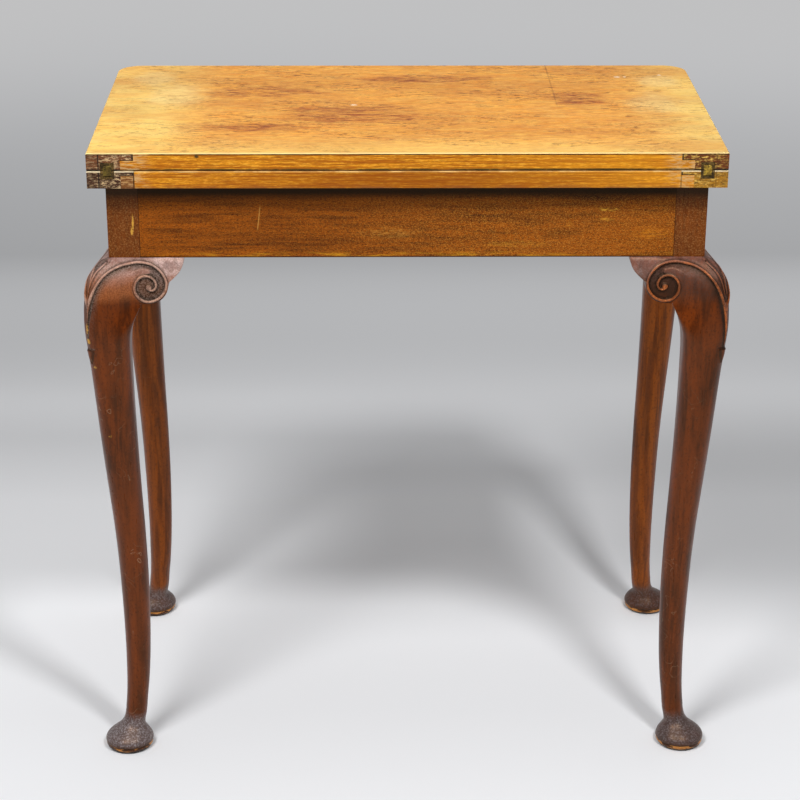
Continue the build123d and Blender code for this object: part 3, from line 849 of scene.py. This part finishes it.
topWood = {
    # the upper face
    "pale": "#FFDA7C", "middle": "#FFAA3C", "deep": "#9A5028", "fleck": "#6A2E10", "streak": "#B86222",
    "bright": "#FFC850", "mark": "#FFF0D4", "arris": "#FFE29A", "cream": "#FFE296",
    # the edges
    "edge": "#FFAC24", "edgeDark": "#B4600E", "edgeFleck": "#6E2E08", "edgeMiddle": "#9A4C04",
    "edgeRim": "#F0CE86", "edgeFoot": "#8A4A2A", "endGrain": "#B8721A", "line": "#3A1A08",
    "olive": "#4A4018", "filler": "#E0BC84", "let": "#6A4028", "dent": "#4A3C22",
    # the faces that show when the top is open, and the underside
    "inner": ("#7E451C", "#A9652E"), "under": "#6B4327",
    "stretch": (24.0, 130.0, 480.0),   # grain runs along the leaf
    "sheen": (1.0, 0.82, 0.5, 1.0),
    "cross": 0.1725,                   # place along X of a dark line across the grain
    # darker clouds, pale places and small marks on the upper face: x, y, half sizes
    "clouds": [(-0.060, -0.035, 0.13, 0.07), (-0.010, -0.050, 0.06, 0.045), (-0.16, 0.060, 0.12, 0.05),
               (-0.17, -0.085, 0.11, 0.03), (0.02, 0.12, 0.16, 0.03), (0.20, 0.03, 0.06, 0.05)],
    "creams": [(-0.262, 0.050, 0.060, 0.085), (-0.29, 0.125, 0.04, 0.05), (0.285, 0.015, 0.055, 0.075),
               (0.300, 0.110, 0.04, 0.04)],
    "marks": [(0.254, 0.130, 0.006, 0.004), (0.263, 0.131, 0.003, 0.003), (0.305, 0.139, 0.004, 0.003),
              (-0.058, 0.006, 0.006, 0.004)],
    "nick": (-0.2235, 0.7268, 0.0045, 0.0030),   # dent in the near edge: x, z, half sizes
}


# the closed top from above: long streaks, dark flecks, blotches, pale ends and small marks
def buildTopFace(g, source):
    place = source["Vector"]
    x, y = g.split(place)[:2]
    grain = g.group(grainGroup, Vector=place, Stretch=topWood["stretch"])
    cloud = clouds(g, g.vector("MULTIPLY", place, (1.0, 2.4, 1.0)), 6.5, 0.38, 0.64)
    broken = brokenGrain(g, place)
    hair = g.noisy(place, (62.0, 300.0, 700.0), 5.0, 0.75, 0.43, 0.57)
    ridge = g.noisy(place, (13.0, 150.0, 240.0), 3.0, 0.6, 0.40, 0.62)
    fleck = speckle(g, place, (66.0, 250.0, 300.0), 0.545, 0.61)
    tiny = speckle(g, g.vector("ADD", place, (0.4, 0.9, 0.2)), (150.0, 400.0, 300.0), 0.53, 0.60)
    crowd = speckle(g, place, (10.0, 26.0, 10.0), 0.45, 0.56)

    # where the dark blotches lie, and where the top is paler: at its ends and toward the near edge
    dashed = g.noisy(place, (64.0, 210.0, 210.0), 5.0, 0.7, 0.42, 0.58, 0.45, 1.0)
    blotch = g.times(cloud, 0.25)
    for cx, cy, halfX, halfY in topWood["clouds"]:
        patch = spot(g, place, (cx, cy, upperHigh.z), (halfX, halfY, 1.0), 0.5, 14.0)
        blotch = g.most(blotch, g.times(patch, g.span(broken, 0.45, 1.0), dashed))
    ends = g.most(g.remap(x, -0.19, -0.29), g.remap(x, 0.22, 0.34))
    patches = g.noisy(place, (11.0, 26.0, 10.0), 4.0, 0.7, 0.42, 0.58, 0.66, 1.0)
    ends = g.times(ends, g.remap(y, 0.03, 0.16, 1.0, 0.75), patches)
    pale = g.most(ends, g.remap(y, -0.10, -0.18, 0.0, 0.6))

    color = g.coats(
        topWood, "middle",
        ("pale", pale),
        ("pale", grain["Streak"], 0.42),
        ("bright", ridge, 0.3))
    for cx, cy, halfX, halfY in topWood["creams"]:
        cream = spot(g, place, (cx, cy, upperHigh.z), (halfX, halfY, 1.0), 0.6, 20.0)
        color = g.paint(color, topWood["cream"], cream, 0.5)
    crowd = g.most(g.times(blotch, 1.3), g.span(crowd, 0.22, 1.0))
    cross = band(g, x, topWood["cross"], 0.0008)
    color = g.coats(
        topWood, color,
        ("deep", blotch),
        ("streak", g.minus(1.0, hair), g.span(pale, 0.42, 0.07)),
        ("streak", broken, g.span(pale, 0.24, 0.05)),
        ("fleck", g.most(fleck, g.times(tiny, 0.6)), g.span(pale, 0.75, 0.45), crowd),
        ("fleck", cross, g.remap(y, -0.02, 0.03), g.span(broken, 0.25, 0.75), 0.7))
    for cx, cy, halfX, halfY in topWood["marks"]:
        mark = spot(g, place, (cx, cy, upperHigh.z), (halfX, halfY, 0.004), 0.9, 500.0)
        color = g.paint(color, topWood["mark"], mark, 0.8)
    color = g.paint(color, topWood["arris"], g.remap(y, -0.1825, -0.1845, 0.0, 0.75))
    return {"Color": color, "Relief": g.plus(g.times(hair, 0.4), g.times(fleck, -0.5))}


topFaceGroup = makeGroup("face of the top", "Vector", "Color Relief", buildTopFace)


def leafEdge(g, place, grain):
    # the leaves' edges, where their end grain, the seam between them and old filler show
    x, _, z = g.split(place)
    across = g.absolute(x)
    left = g.remap(x, 0.1, -0.1)
    lowerLeaf = g.remap(z, upperLow.z, lowerHigh.z)
    speck = g.noisy(place, (120.0, 420.0, 620.0), 4.0, 0.7, 0.38, 0.60)
    streaks = g.noisy(place, (14.0, 300.0, 520.0), 5.0, 0.7, 0.38, 0.60)
    uneven = g.noisy(place, (30.0, 30.0, 30.0), 4.0, 0.7, 0.3, 0.6)
    filler = g.noisy(place, (90.0, 200.0, 520.0), 5.0, 0.7, 0.46, 0.58)
    foot = g.remap(z, lowerLow.z + 0.0055, lowerLow.z + 0.0005, 0.0, 0.6)
    cx, cz, halfX, halfZ = topWood["nick"]
    return g.coats(
        topWood, "edgeDark",
        ("edge", streaks),
        ("edgeDark", speck, 0.6),
        ("bright", g.remap(speck, 0.35, 0.0), streaks, 0.36),
        ("edgeFleck", grain["Fleck"], 0.55),
        ("endGrain", g.remap(across, upperHigh.x - 0.020, upperHigh.x - 0.001, 0.0, 0.6)),
        ("edge", g.remap(x, 0.05, 0.25, 0.0, 0.3)),
        ("edgeMiddle", lowerLeaf, band(g, x, 0.02, 0.16, 0.9), 0.6),
        # lines along the edge, from the top down: a dark line, painted shade along the upper leaf's lower
        # arris and a painted highlight along the lower leaf's upper arris
        ("line", band(g, z, upperHigh.z - 0.0013, 0.0007), g.span(uneven, 0.5, 1.0)),
        ("olive", band(g, z, upperLow.z + 0.0007, 0.0015), g.span(uneven, 0.35, 0.95)),
        ("edgeRim", band(g, z, lowerHigh.z - 0.0006, 0.0008), g.span(uneven, 0.8, 0.2)),
        ("edgeFoot", foot, brokenGrain(g, place)),
        # beside the hinges: filler, the let-in piece on the left and the cut round it
        ("filler", g.remap(across, 0.268, 0.290), filler, 0.7),
        ("let", g.remap(across, 0.2895, 0.2905), lowerLeaf, left, g.span(filler, 0.85, 0.3)),
        ("line", band(g, across, 0.2902, 0.0007), lowerLeaf, g.span(left, 0.5, 0.9)),
        ("dent", spot(g, place, (cx, upperLow.y, cz), (halfX, 0.004, halfZ), 0.5, 300.0)))


def makeTopWood():
    material, g, place = newMaterial("top_wood")
    grain = g.group(grainGroup, Vector=place, Stretch=topWood["stretch"])
    face = g.group(topFaceGroup, Vector=place)
    z = g.split(place)[2]
    inner = g.paint(*topWood["inner"], grain["Streak"])
    inside = g.times(g.remap(z, lowerHigh.z - 0.0004, lowerHigh.z - 0.0001),
                     g.remap(z, upperLow.z + 0.0004, upperLow.z + 0.0001))
    color = g.coats(
        topWood, leafEdge(g, place, grain),
        (inner, inside),
        ("under", g.remap(z, lowerLow.z + 0.0004, lowerLow.z + 0.0001)),
        (face["Color"], onTop(g, z)))
    roughness = g.plus(0.30, g.times(grain["Fine"], 0.2))
    finishMaterial(g, color, roughness, face["Relief"], 0.0002, Specular_IOR_Level=0.3,
                   Specular_Tint=topWood["sheen"])
    return material


# wood of the rails and folding boards

frameWood = {
    "dark": "#562404", "middle": "#B25A0A", "light": "#DC963A", "worn": "#DC9A20", "shade": "#341404",
    # colour of the painted shade under the top's overhang
    "soot": "#120703",
    "stretch": (14.0, 200.0, 200.0),
    "sheen": (1.0, 0.75, 0.45, 1.0),
    # rubbed places on the back rail: x, z, half sizes, strength, colour
    "scuffs": [(0.217, 0.661, 0.017, 0.0035, 1.0, "#F0B83A"), (0.214, 0.650, 0.014, 0.0028, 0.7, "#E0A030"),
               (0.262, 0.634, 0.034, 0.010, 0.55, "#E08A1C"), (0.175, 0.645, 0.006, 0.004, 0.6, "#E0A030"),
               (0.12, 0.622, 0.05, 0.006, 0.5, "#D8922A"), (-0.02, 0.635, 0.05, 0.010, 0.4, "#D89A40")],
    "scratch": (-0.160, 0.652, 0.013, "#E0A44C"),   # leaning scratch: x, z, half height, colour
}


def makeFrameWood():
    material, g, place = newMaterial("frame_wood")
    grain = g.group(grainGroup, Vector=place, Stretch=frameWood["stretch"])
    x, y, z = g.split(place)
    cloud = clouds(g, g.vector("MULTIPLY", place, (0.6, 1.0, 2.4)), 11.0, 0.35, 0.66)
    glint = speckle(g, place, (820.0, 1200.0, 1200.0), 0.49, 0.61)
    dots = speckle(g, g.vector("ADD", place, (0.7, 0.2, 0.4)), (380.0, 760.0, 760.0), 0.49, 0.60)
    bottom = g.remap(z, friezeBottom + 0.008, friezeBottom + 0.001)
    ragged = g.noisy(place, (22.0, 60.0, 190.0), 5.0, 0.7, 0.46, 0.64)
    middle = g.remap(g.absolute(g.plus(x, 0.03)), 0.26, 0.12, 0.2, 0.9)
    patchy = speckle(g, place, (170.0, 400.0, 800.0), 0.42, 0.60)
    color = g.coats(
        frameWood, "dark",
        ("middle", grain["Streak"], 0.75),
        ("middle", cloud, 0.6),
        ("light", glint, g.remap(x, -0.14, 0.10, 0.35, 0.9), 0.72),
        ("shade", dots, 0.62),
        # lower edge: worn in the middle, dark at the very corner
        ("worn", bottom, ragged, middle),
        ("shade", band(g, z, friezeBottom, 0.0013), 0.9))
    for cx, cz, halfX, halfZ, strength, tone in frameWood["scuffs"]:
        patch = spot(g, place, (cx, railLow.y, cz), (halfX, 0.006, halfZ), 0.8, 420.0)
        color = g.paint(color, tone, patch, strength, patchy)
    cx, cz, halfZ, tone = frameWood["scratch"]
    leaning = g.minus(x, g.times(g.minus(z, cz), 0.12))
    onBack = g.remap(y, 0.0, -0.05)
    color = g.coats(
        frameWood, color,
        (tone, band(g, leaning, cx, 0.0006), band(g, z, cz, halfZ, 0.2), onBack, 0.5),
        ("shade", band(g, g.absolute(x), cornerX - postSide * mm, 0.0004), 0.8),
        # painted shade under the top's overhang
        ("soot", soot(g, z, 0.96)))
    height = g.plus(g.times(grain["Fine"], 0.5), g.times(dots, -0.3))
    roughness = g.plus(0.42, g.times(grain["Fine"], 0.2))
    finishMaterial(g, color, roughness, height, 0.0002, Specular_IOR_Level=0.25,
                   Specular_Tint=frameWood["sheen"])
    return material


# wood of the legs

legWood = {
    "dark": "#2A1005", "middle": "#70300A", "red": "#843A0E", "orange": "#9C4E08", "pale": "#E0C4A0",
    # the carved knee: bead crests, worn and with a painted highlight, on the left and on the right, dirt
    # with painted shade, bloom with a painted highlight, and a painted highlight and painted shade on the
    # dome
    "bead": ("#CFA48E", "#BE6A38"), "grime": "#140D0A", "silt": "#8C7C72", "bloom": "#D6B8B0",
    "rub": "#B06A40", "smoke": "#3C2E2A",
    # the pad foot; its dust also holds a painted highlight
    "foot": "#2A1A14", "dust": "#A0989A", "worn": "#D08C48", "sole": "#140A06",
    "postDark": "#3A1805", "postBright": "#984A0C", "postBrown": "#66300A", "postDust": "#BC8448",
    "stretch": (150.0, 150.0, 11.0),   # grain runs down the leg
    "sheen": (1.0, 0.62, 0.38, 1.0),
    # chipped places on the near left leg: x, y, z, half sizes
    "chip": "#D8A040",
    "chips": [(-0.3485, -0.191, 0.534, 0.0013, 0.006, 0.008), (-0.347, -0.190, 0.519, 0.0013, 0.006, 0.005),
              (-0.342, -0.191, 0.488, 0.0017, 0.006, 0.0028), (-0.330, -0.1885, 0.404, 0.002, 0.006, 0.004),
              (-0.2955, -0.166, 0.646, 0.0007, 0.006, 0.011),
              (-0.2970, -0.166, 0.637, 0.0008, 0.006, 0.006)],
}


def kneeBloomAndHighlight(g, place, knee, dust):
    # dusty bloom on the knee blocks and the top of the knee, with a painted highlight in it, more on the
    # left
    x, y, z = g.split(place)
    upper = g.remap(z, friezeBottom - 0.042, friezeBottom - 0.004)
    high = g.most(upper, g.remap(z, friezeBottom - 0.026, friezeBottom - 0.014))
    block = g.remap(g.absolute(x), cornerX - 0.040, cornerX - 0.052)
    depth = g.remap(g.absolute(y), cornerY - 0.040, cornerY - 0.052)
    cover = g.most(g.times(upper, 0.62), block, depth)
    mottled = g.span(speckle(g, place, (85.0, 85.0, 85.0), 0.44, 0.56), 0.64, 1.0)
    return g.times(knee, cover, high, g.remap(x, 0.1, -0.2, 0.32, 1.0), g.span(dust, 0.62, 1.0), mottled)


def kneeColor(g, place, mask, color, bloom, dust):
    # over the plain wood: a painted highlight on the knee's dome on the left and painted shade on it on the
    # right, bloom with a painted highlight, dirt and painted shade in the hollows, painted shade on the
    # beads' sides, and worn beads with a painted highlight on their crests
    x, _, z = g.split(place)
    left = g.remap(x, 0.1, -0.1)
    dome = g.times(mask["knee"], band(g, z, friezeBottom - 0.027, 0.014), g.span(dust, 0.5, 1.0))
    sunk = g.remap(mask["ground"], 0.05, 0.75)
    leftBeadWearAndHighlight, rightBeadWearAndHighlight = legWood["bead"]
    bead = g.paint(rightBeadWearAndHighlight, leftBeadWearAndHighlight, left)
    patchy = g.span(speckle(g, place, (70.0, 70.0, 70.0), 0.44, 0.56), 0.45, 1.0)
    return g.coats(
        legWood, color,
        # painted highlight on the knee's dome, most on the left, and painted shade on it on the right
        ("rub", dome, g.remap(x, 0.1, -0.1, 0.10, 0.72)),
        ("smoke", dome, g.remap(x, -0.1, 0.1, 0.0, 0.62)),
        # bloom with a painted highlight in it, more on the left
        ("bloom", bloom, 0.95),
        # dirt in the hollows, with painted shade in the grooves beside the beads
        ("grime", sunk, g.span(dust, 1.0, 0.72), 0.95),
        ("silt", sunk, dust, left, 0.55),
        # painted shade on the sides of the beads
        ("grime", band(g, mask["bead"], 0.30, 0.17, 0.5), 0.75),
        # worn crests of the beads with a painted highlight, paler on the left
        (bead, g.remap(mask["bead"], 0.45, 0.92, 0.0, 0.9), patchy, g.span(dust, 0.6, 1.0)))


def postColor(g, place, grain, cloud, dots):
    x, y, z = g.split(place)
    grit = speckle(g, g.vector("ADD", place, (0.1, 0.8, 0.4)), (640.0, 640.0, 640.0), 0.48, 0.62)
    seamX = band(g, g.absolute(x), cornerX - postSide * mm, 0.0004)
    seamY = band(g, g.absolute(y), cornerY - postSide * mm, 0.0006)
    return g.coats(
        legWood, "postDark",
        ("postBright", grain["Fine"]),
        ("postBrown", cloud, 0.5),
        ("dark", dots, 0.5),
        ("postDust", grit, 0.40),
        ("dark", g.most(seamX, g.times(seamY, 0.6)), 0.85),
        # painted shade under the top's overhang, on the post
        ("sole", soot(g, z, 0.93)))


def padColor(g, place, pad, color):
    # settled dust on top with a painted highlight in it, most on the near left foot, a worn rim with chips,
    # a painted shadow line under the rim's lip, and darker towards the bottom
    x, y, z = g.split(place)
    settled = g.span(speckle(g, place, (480.0, 480.0, 480.0), 0.47, 0.60), 0.3, 1.0)
    dustAndHighlightBySide = g.times(g.remap(x, 0.1, -0.1, 0.5, 1.0), g.remap(y, -0.1, 0.1, 1.0, 0.55))
    chip = g.noisy(place, (70.0, 70.0, 160.0), 4.0, 0.6, 0.44, 0.54)
    return g.coats(
        legWood, color,
        ("foot", pad, 0.8),
        # dust with a painted highlight in it, most on the near left foot
        ("dust", pad, g.remap(z, 0.007, 0.013), settled, dustAndHighlightBySide, 0.74),
        ("worn", pad, band(g, z, 0.0050, 0.0022), chip, 0.9),
        # painted shadow line under the rim's lip
        ("sole", pad, band(g, z, 0.0077, 0.0006), 0.8),
        ("sole", pad, g.remap(z, 0.0028, 0.0018)))


def makeLegWood():
    material, g, place = newMaterial("leg_wood")
    grain = g.group(grainGroup, Vector=place, Stretch=legWood["stretch"])
    x, y, z = g.split(place)
    cloud = clouds(g, g.vector("MULTIPLY", place, (1.0, 1.0, 0.4)), 24.0, 0.36, 0.66)
    mask = {label: g.add("ShaderNodeAttribute", attribute_name=label).outputs["Fac"]
            for label in ("bead", "ground", "pad", "knee", "post")}
    dots = speckle(g, place, (420.0, 420.0, 300.0), 0.50, 0.66)
    dust = speckle(g, g.vector("ADD", place, (0.3, 0.5, 0.9)), (620.0, 620.0, 620.0), 0.40, 0.62)
    # bloom with a painted highlight in it
    bloom = kneeBloomAndHighlight(g, place, mask["knee"], dust)

    # plain wood, more orange on the far legs
    farTone = g.times(g.remap(y, 0.05, 0.12), g.remap(x, -0.1, 0.1, 0.5, 0.75))
    color = g.coats(
        legWood, "dark",
        ("middle", g.span(grain["Streak"], 0.16, 0.84)),
        ("red", cloud, 0.4),
        ("orange", farTone, g.span(grain["Streak"], 0.2, 1.0)),
        ("dark", dots, 0.5))
    color = kneeColor(g, place, mask, color, bloom, dust)
    color = g.paint(color, postColor(g, place, grain, cloud, dots), mask["post"])

    # scratches on the shank, most on the near left leg
    scratch = g.group(scratchGroup, Vector=place, Scale=34.0, Thin=0.008, Rare=0.46)["Mask"]
    shank = g.minus(1.0, g.most(mask["post"], mask["pad"]))
    scratch = g.times(scratch, g.remap(x, 0.0, -0.2, 0.35, 1.0), shank,
                      g.remap(z, 0.52, 0.40, 0.15, 1.0), g.remap(y, 0.0, -0.1, 0.12, 1.0))
    color = g.paint(color, legWood["pale"], scratch, 0.7)
    color = padColor(g, place, mask["pad"], color)
    for cx, cy, cz, halfX, halfY, halfZ in legWood["chips"]:
        patch = spot(g, place, (cx, cy, cz), (halfX * 2.4, halfY, halfZ * 1.3), 0.8, 420.0)
        color = g.paint(color, legWood["chip"], patch)
    height = g.plus(g.times(grain["Fine"], 0.3), g.times(scratch, -0.4), g.times(dots, -0.25))
    dull = g.most(g.times(bloom, 0.3), g.times(mask["ground"], 0.2))
    roughness = g.plus(0.22, g.times(grain["Fine"], 0.16), dull, g.times(mask["pad"], 0.07))
    finishMaterial(g, color, roughness, height, 0.00009, Specular_IOR_Level=0.42,
                   Specular_Tint=legWood["sheen"])
    return material


# let-in patches beside the hinges

patchWood = {
    # colours left and right of the middle
    "upper": ("#8E5530", "#84441A"), "lower": ("#54301E", "#C88A22"), "filler": ("#E8C490", "#F4C45C"),
    # rim: colour of a painted highlight along the lower leaf's upper arris
    "dark": "#2C1608", "line": "#1E120C", "rim": "#F0DCB4",
    "stretch": (60.0, 300.0, 520.0),
    "ends": 0.2908, "seat": 0.3272,   # places of two upright joints, out from the middle
}


def makePatchWood():
    material, g, place = newMaterial("patch_wood")
    grain = g.group(grainGroup, Vector=place, Stretch=patchWood["stretch"])
    x, _, z = g.split(place)
    across = g.absolute(x)
    right = g.remap(x, -0.1, 0.1)
    upper = g.paint(*patchWood["upper"], right)
    lower = g.paint(*patchWood["lower"], right)
    filler = g.paint(*patchWood["filler"], right)
    spots = g.noisy(place, (150.0, 150.0, 420.0), 6.0, 0.8, 0.48, 0.60)
    dark = g.noisy(place, (169.0, 156.0, 494.0), 6.0, 0.8, 0.47, 0.60)

    # joints of the patches, of the strips above and below them, and of the hinge's seat
    ends = band(g, across, patchWood["ends"], 0.0009)
    seam = band(g, z, upperLow.z + 0.0006, 0.0012)
    upperLip = band(g, z, upperHigh.z - 0.0011, 0.0007)
    inStrip = g.remap(across, 0.306, 0.303)
    stripUpper = g.times(band(g, z, upperHigh.z - 0.0076, 0.0006), inStrip)
    stripLower = g.times(band(g, z, lowerHigh.z - 0.0046, 0.0006), inStrip)
    seat = g.times(band(g, across, patchWood["seat"], 0.0008), g.span(right, 1.0, 0.4))
    line = g.most(ends, seam, upperLip, stripUpper, stripLower, seat)
    color = g.coats(
        patchWood, upper,
        (lower, g.remap(z, upperLow.z, lowerHigh.z)),
        ("dark", grain["Streak"], 0.4),
        ("dark", dark, 0.74),
        (filler, spots, g.remap(across, 0.338, 0.322, 0.3, 0.95)),
        ("line", line, 0.88),
        # painted highlight along the lower leaf's upper arris
        ("rim", band(g, z, lowerHigh.z - 0.0007, 0.0007), 0.8),
        (g.group(topFaceGroup, Vector=place)["Color"], onTop(g, z)))
    roughness = g.plus(0.42, g.times(spots, 0.2))
    finishMaterial(g, color, roughness, spots, 0.00025, Specular_IOR_Level=0.25)
    return material


# inner wood, metal and cloth

innerWood = {"dark": "#8A6238", "light": "#B98C57", "stain": "#6B4A2C", "stretch": (20.0, 240.0, 240.0)}


def makeInnerWood():
    material, g, place = newMaterial("inner_wood")
    grain = g.group(grainGroup, Vector=place, Stretch=innerWood["stretch"])
    stain = clouds(g, place, 14.0, 0.35, 0.7)
    color = g.coats(innerWood, "dark", ("light", grain["Streak"]), ("stain", stain, 0.5))
    finishMaterial(g, color, 0.72, grain["Fine"], 0.0003, Specular_IOR_Level=0.25)
    return material


metals = {
    "brass": {"light": "#7A5E2A", "dark": "#46330F", "crust": "#1E160C", "metallic": 0.5, "roughness": 0.5},
    "iron": {"light": "#5A5049", "dark": "#3A302A", "crust": "#6B3F24", "metallic": 0.8, "roughness": 0.5},
    "brass_link_right": {
        "light": "#D8B040", "dark": "#8A6A20", "crust": "#4A3A14", "metallic": 0.5, "roughness": 0.4},
    "brass_link_left": {
        "light": "#86702A", "dark": "#5E4A1A", "crust": "#2C220E", "metallic": 0.5, "roughness": 0.4},
}


def makeMetal(name):
    settings = metals[name]
    material, g, place = newMaterial(name)
    cloud = clouds(g, place, 190.0, 0.36, 0.62)
    stain = clouds(g, g.vector("ADD", place, (0.3, 0.7, 0.1)), 420.0, 0.46, 0.62)
    color = g.coats(settings, "light", ("dark", cloud), ("crust", stain, 0.7))
    rough = g.plus(settings["roughness"], g.times(stain, 0.25))
    finishMaterial(g, color, rough, cloud, 0.0002, Metallic=settings["metallic"])
    return material


clothTones = {"dark": "#1F4A30", "light": "#33683F", "faded": "#55703F"}


def makeCloth():
    material, g, place = newMaterial("playing_cloth")
    nap = g.noise(place, 900.0, 4.0, 0.7)
    faded = clouds(g, place, 7.0, 0.35, 0.7)
    color = g.coats(clothTones, "dark", ("light", g.remap(nap, 0.3, 0.7)), ("faded", faded, 0.4))
    finishMaterial(g, color, 0.95, nap, 0.0004, Sheen_Weight=0.3, Sheen_Roughness=0.6)
    return material


materials = {
    "top_wood": makeTopWood(),
    "frame_wood": makeFrameWood(),
    "leg_wood": makeLegWood(),
    "patch_wood": makePatchWood(),
    "inner_wood": makeInnerWood(),
    "brass": makeMetal("brass"),
    "iron": makeMetal("iron"),
    "playing_cloth": makeCloth(),
}
for piece in legPieces:
    dress(piece, materials["leg_wood"])
for piece in (leafLower, leafUpper):
    dress(piece, materials["top_wood"])
for piece in (clothLower, clothUpper):
    dress(piece, materials["playing_cloth"])

# the frame's own nodes get the finish that their slot names
for name, node in nodes.items():
    current = node.material_slots[0].material
    wanted = current.name.split(".")[0] if current else ""
    if wanted not in materials:
        print("no finish for", name, wanted)
        continue
    for slot in node.material_slots:
        slot.material = materials[wanted]
for side in ("right", "left"):
    linkBrass = makeMetal("brass_link_" + side)
    for slot in nodes["hinge_link_" + side].material_slots:
        slot.material = linkBrass
print("materials set")


# floor, lamps and camera

studio = {
    # place along Y in metres, grey of the floor; it is partly painted light, lightest just behind the table
    # where the lamps light the floor most, and darker further back
    "floor": [(-1.0, 0.88), (-0.1, 0.92), (0.2, 1.0), (0.5, 1.0), (0.8, 0.79), (1.15, 0.59), (1.6, 0.375),
              (2.4, 0.44), (3.1, 0.50), (3.8, 0.53)],
    "cast": (0.985, 0.995, 1.02),
    "sides": (-1.6, 0.6, 0.92, 1.02),   # place along X from and to, brightness there
    "shade": {"from": 0.12, "to": 0.50, "near": (0.02, 0.30), "far": (0.95, 0.65), "amount": 0.24},
    "glow": (0.95, 1.5),     # from here on the floor shows its own grey
    "backdrop": 0.53,        # grey that the floor fades into, away from this place
    "fade": {"centre": (0.0, 0.8, 0.0), "reach": (1.5, 3.2)},
    # light of the surroundings, and the turn from front to back that it changes over
    "front": 0.14, "back": 0.32, "turn": (-0.3, 0.7),
    "lamps": {
        "right lamp": {"place": (0.85, -1.65, 2.90), "size": 0.42, "power": 37.0},
        "left lamp": {"place": (-1.00, -1.55, 2.90), "size": 0.95, "power": 50.0},
        "top lamp": {"place": (0.0, 0.2, 3.2), "size": 1.6, "power": 11.0},
    },
}


def makeFloor():
    points = [(-9, -7, 0), (9, -7, 0), (9, 9, 0), (-9, 9, 0)]
    floor = meshObject("floor", points, [(0, 1, 2, 3)])
    material, g, place = newMaterial("floor")
    sideways, along = g.split(place)[:2]
    first, last = studio["floor"][0][0], studio["floor"][-1][0]
    share = g.add("ShaderNodeMapRange", {0: along, 1: first, 2: last}).outputs[0]
    ramp = g.add("ShaderNodeValToRGB", {0: share})
    stops = ramp.color_ramp.elements
    while len(stops) < len(studio["floor"]):
        stops.new(0.5)
    for stop, (where, grey) in zip(stops, studio["floor"]):
        stop.position = (where - first) / (last - first)
        stop.color = (*(grey * tone for tone in studio["cast"]), 1.0)
    shade = studio["shade"]
    dim = g.times(g.remap(sideways, shade["from"], shade["to"]), g.remap(along, *shade["near"]),
                  g.remap(along, *shade["far"]), shade["amount"])
    scale = g.times(g.remap(sideways, *studio["sides"]), g.minus(1.0, dim))
    grey = g.add("ShaderNodeVectorMath", {0: ramp.outputs[0], "Scale": scale}, operation="SCALE").outputs[0]
    away = g.vector("SUBTRACT", place, studio["fade"]["centre"])
    distance = g.add("ShaderNodeVectorMath", {0: away}, operation="LENGTH").outputs["Value"]
    outside = g.remap(distance, *studio["fade"]["reach"])
    plain = studio["backdrop"]
    grey = g.mix(outside, grey, (plain, plain, plain * 1.01, 1.0))
    lit = g.add("ShaderNodeBsdfDiffuse", {"Color": grey}).outputs[0]
    shown = g.add("ShaderNodeEmission", {"Color": grey, "Strength": 1.0}).outputs[0]
    rays = g.add("ShaderNodeLightPath").outputs
    seen = g.most(rays["Is Camera Ray"], rays["Is Glossy Ray"], rays["Is Transmission Ray"])
    far = g.most(g.remap(along, *studio["glow"]), outside)
    both = g.add("ShaderNodeMixShader", {0: g.times(seen, far), 1: lit, 2: shown}).outputs[0]
    g.add("ShaderNodeOutputMaterial", {"Surface": both})
    dress(floor, material)


def makeLamp(name, settings, target=(0.0, 0.45, 0.3)):
    data = bpy.data.lights.new(name, "AREA")
    data.shape = "DISK"
    data.size = settings["size"]
    data.energy = settings["power"]
    lamp = placeObject(name, data)
    lamp.location = settings["place"]
    aim = Vector(target) - Vector(settings["place"])
    lamp.rotation_euler = aim.to_track_quat("-Z", "Y").to_euler()


def makeWorld():
    world = bpy.data.worlds.new("studio")
    bpy.context.scene.world = world
    world.use_nodes = True
    world.node_tree.nodes.clear()
    g = Graph(world.node_tree)
    direction = g.add("ShaderNodeTexCoord").outputs["Generated"]
    _, y, z = g.split(direction)
    behind = g.remap(g.plus(y, g.times(z, 0.5)), *studio["turn"])
    front, back = studio["front"], studio["back"]
    grey = g.mix(behind, (front, front, front, 1), (back, back, back, 1))
    light = g.add("ShaderNodeBackground", {"Color": grey, "Strength": 1.0}).outputs[0]
    plain = studio["backdrop"]
    shown = g.add("ShaderNodeBackground",
                  {"Color": (plain, plain, plain * 1.01, 1), "Strength": 1.0}).outputs[0]
    rays = g.add("ShaderNodeLightPath").outputs
    both = g.add("ShaderNodeMixShader", {0: rays["Is Camera Ray"], 1: light, 2: shown}).outputs[0]
    g.add("ShaderNodeOutputWorld", {"Surface": both})


view = {"place": (-0.046, -2.4401, 1.3976), "yaw": 0.0170, "pitch": 0.3988, "roll": 0.0037, "lens": 99.71}


def makeCamera():
    data = bpy.data.cameras.new("camera")
    data.sensor_width = 36
    data.lens = view["lens"]
    camera = placeObject("camera", data)
    turn = Matrix.Rotation(-view["yaw"], 4, "Z") @ Matrix.Rotation(math.pi / 2 - view["pitch"], 4, "X")
    camera.matrix_world = Matrix.Translation(view["place"]) @ turn @ Matrix.Rotation(view["roll"], 4, "Z")
    bpy.context.scene.camera = camera


makeFloor()
for lampName, lampSettings in studio["lamps"].items():
    makeLamp(lampName, lampSettings)
makeWorld()
makeCamera()
bpy.context.scene.view_settings.view_transform = "Standard"
print("studio set")
